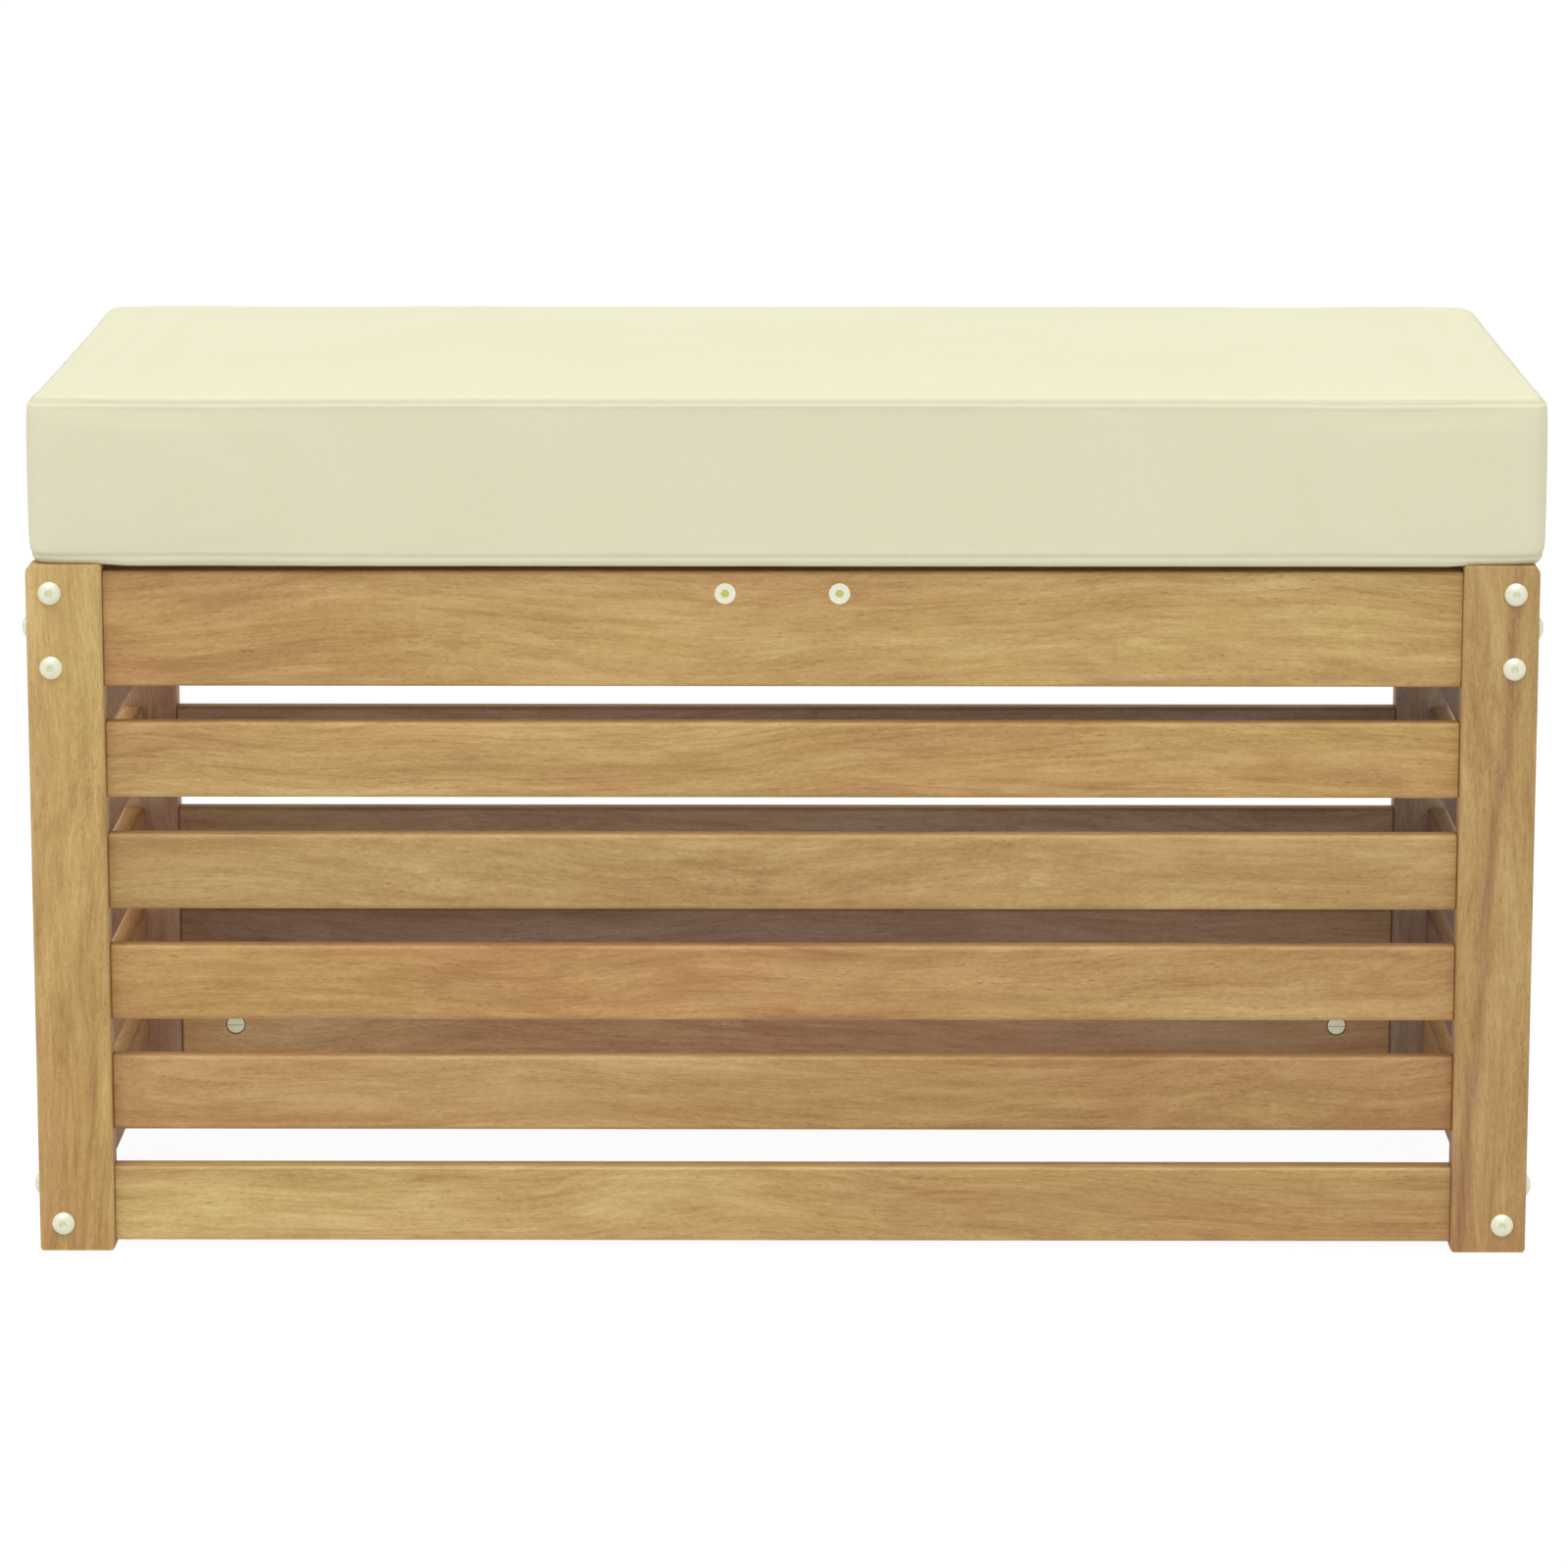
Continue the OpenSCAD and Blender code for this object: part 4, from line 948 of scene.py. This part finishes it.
def make_floor():
    mesh = bpy.data.meshes.new("floor")
    s = FLOOR_HALF
    mesh.from_pydata([(-s, -s, 0), (s, -s, 0), (s, s, 0), (-s, s, 0)], [], [(0, 1, 2, 3)])
    mat, tree, shader = base_material("pale_floor")
    shader.inputs["Base Color"].default_value = FLOOR_GREY
    shader.inputs["Roughness"].default_value = 0.9
    shader.inputs["Specular IOR Level"].default_value = 0.0
    # Under the box the floor glows stronger and cooler for all but camera rays: painted fill light for
    # the box's inside.
    here = parts_of(tree, object_coords(tree))
    away = [math_node(tree, "DIVIDE", math_node(tree, "ABSOLUTE", here[i]), cad_high[i]) for i in range(2)]
    under = math_node(tree, "MAXIMUM", *away)
    pool = ramp(tree, under, [(0.78, POOL_UNDER), (0.96, POOL_AROUND)])
    tree.links.new(pool, shader.inputs["Emission Color"])
    shader.inputs["Emission Strength"].default_value = 1.0
    # Seen directly the paper is almost white, with only a faint contact shadow.
    paper = make(tree, "ShaderNodeBsdfDiffuse", values={"Color": PAPER_GREY})
    glow = make(tree, "ShaderNodeEmission", values={"Color": (*WHITE, 1.0), "Strength": PAPER_GLOW})
    seen = make(tree, "ShaderNodeAddShader", {0: paper.outputs[0], 1: glow.outputs[0]})
    seen_now = tree.nodes.new("ShaderNodeLightPath").outputs["Is Camera Ray"]
    pick = make(tree, "ShaderNodeMixShader", {0: seen_now, 1: shader.outputs[0], 2: seen.outputs[0]})
    tree.links.new(pick.outputs[0], tree.nodes["Material Output"].inputs[0])
    new_object("floor", mesh, mat)


def make_light():
    world = bpy.data.worlds.new("studio")
    bpy.context.scene.world = world
    world.use_nodes = True
    tree = world.node_tree
    back = tree.nodes["Background"]
    back.inputs[0].default_value = (*WHITE, 1.0)
    seen_now = tree.nodes.new("ShaderNodeLightPath").outputs["Is Camera Ray"]
    strength = math_node(tree, "MULTIPLY_ADD", seen_now, WORLD_EXTRA_SEEN, WORLD_LIGHT)
    tree.links.new(strength, back.inputs[1])
    key = bpy.data.lights.new("key", "SUN")
    key.energy = KEY_ENERGY
    key.angle = math.radians(KEY_ANGLE)
    obj = bpy.data.objects.new("key", key)
    bpy.context.scene.collection.objects.link(obj)
    obj.rotation_euler = Vector(KEY_FROM).to_track_quat("Z", "Y").to_euler()
    bpy.context.scene.view_settings.view_transform = "Standard"


make_camera()
dress_wood(wood_pattern())
dress_metal()
cover = make_cushion()
make_zip(cover)
make_floor()
make_light()
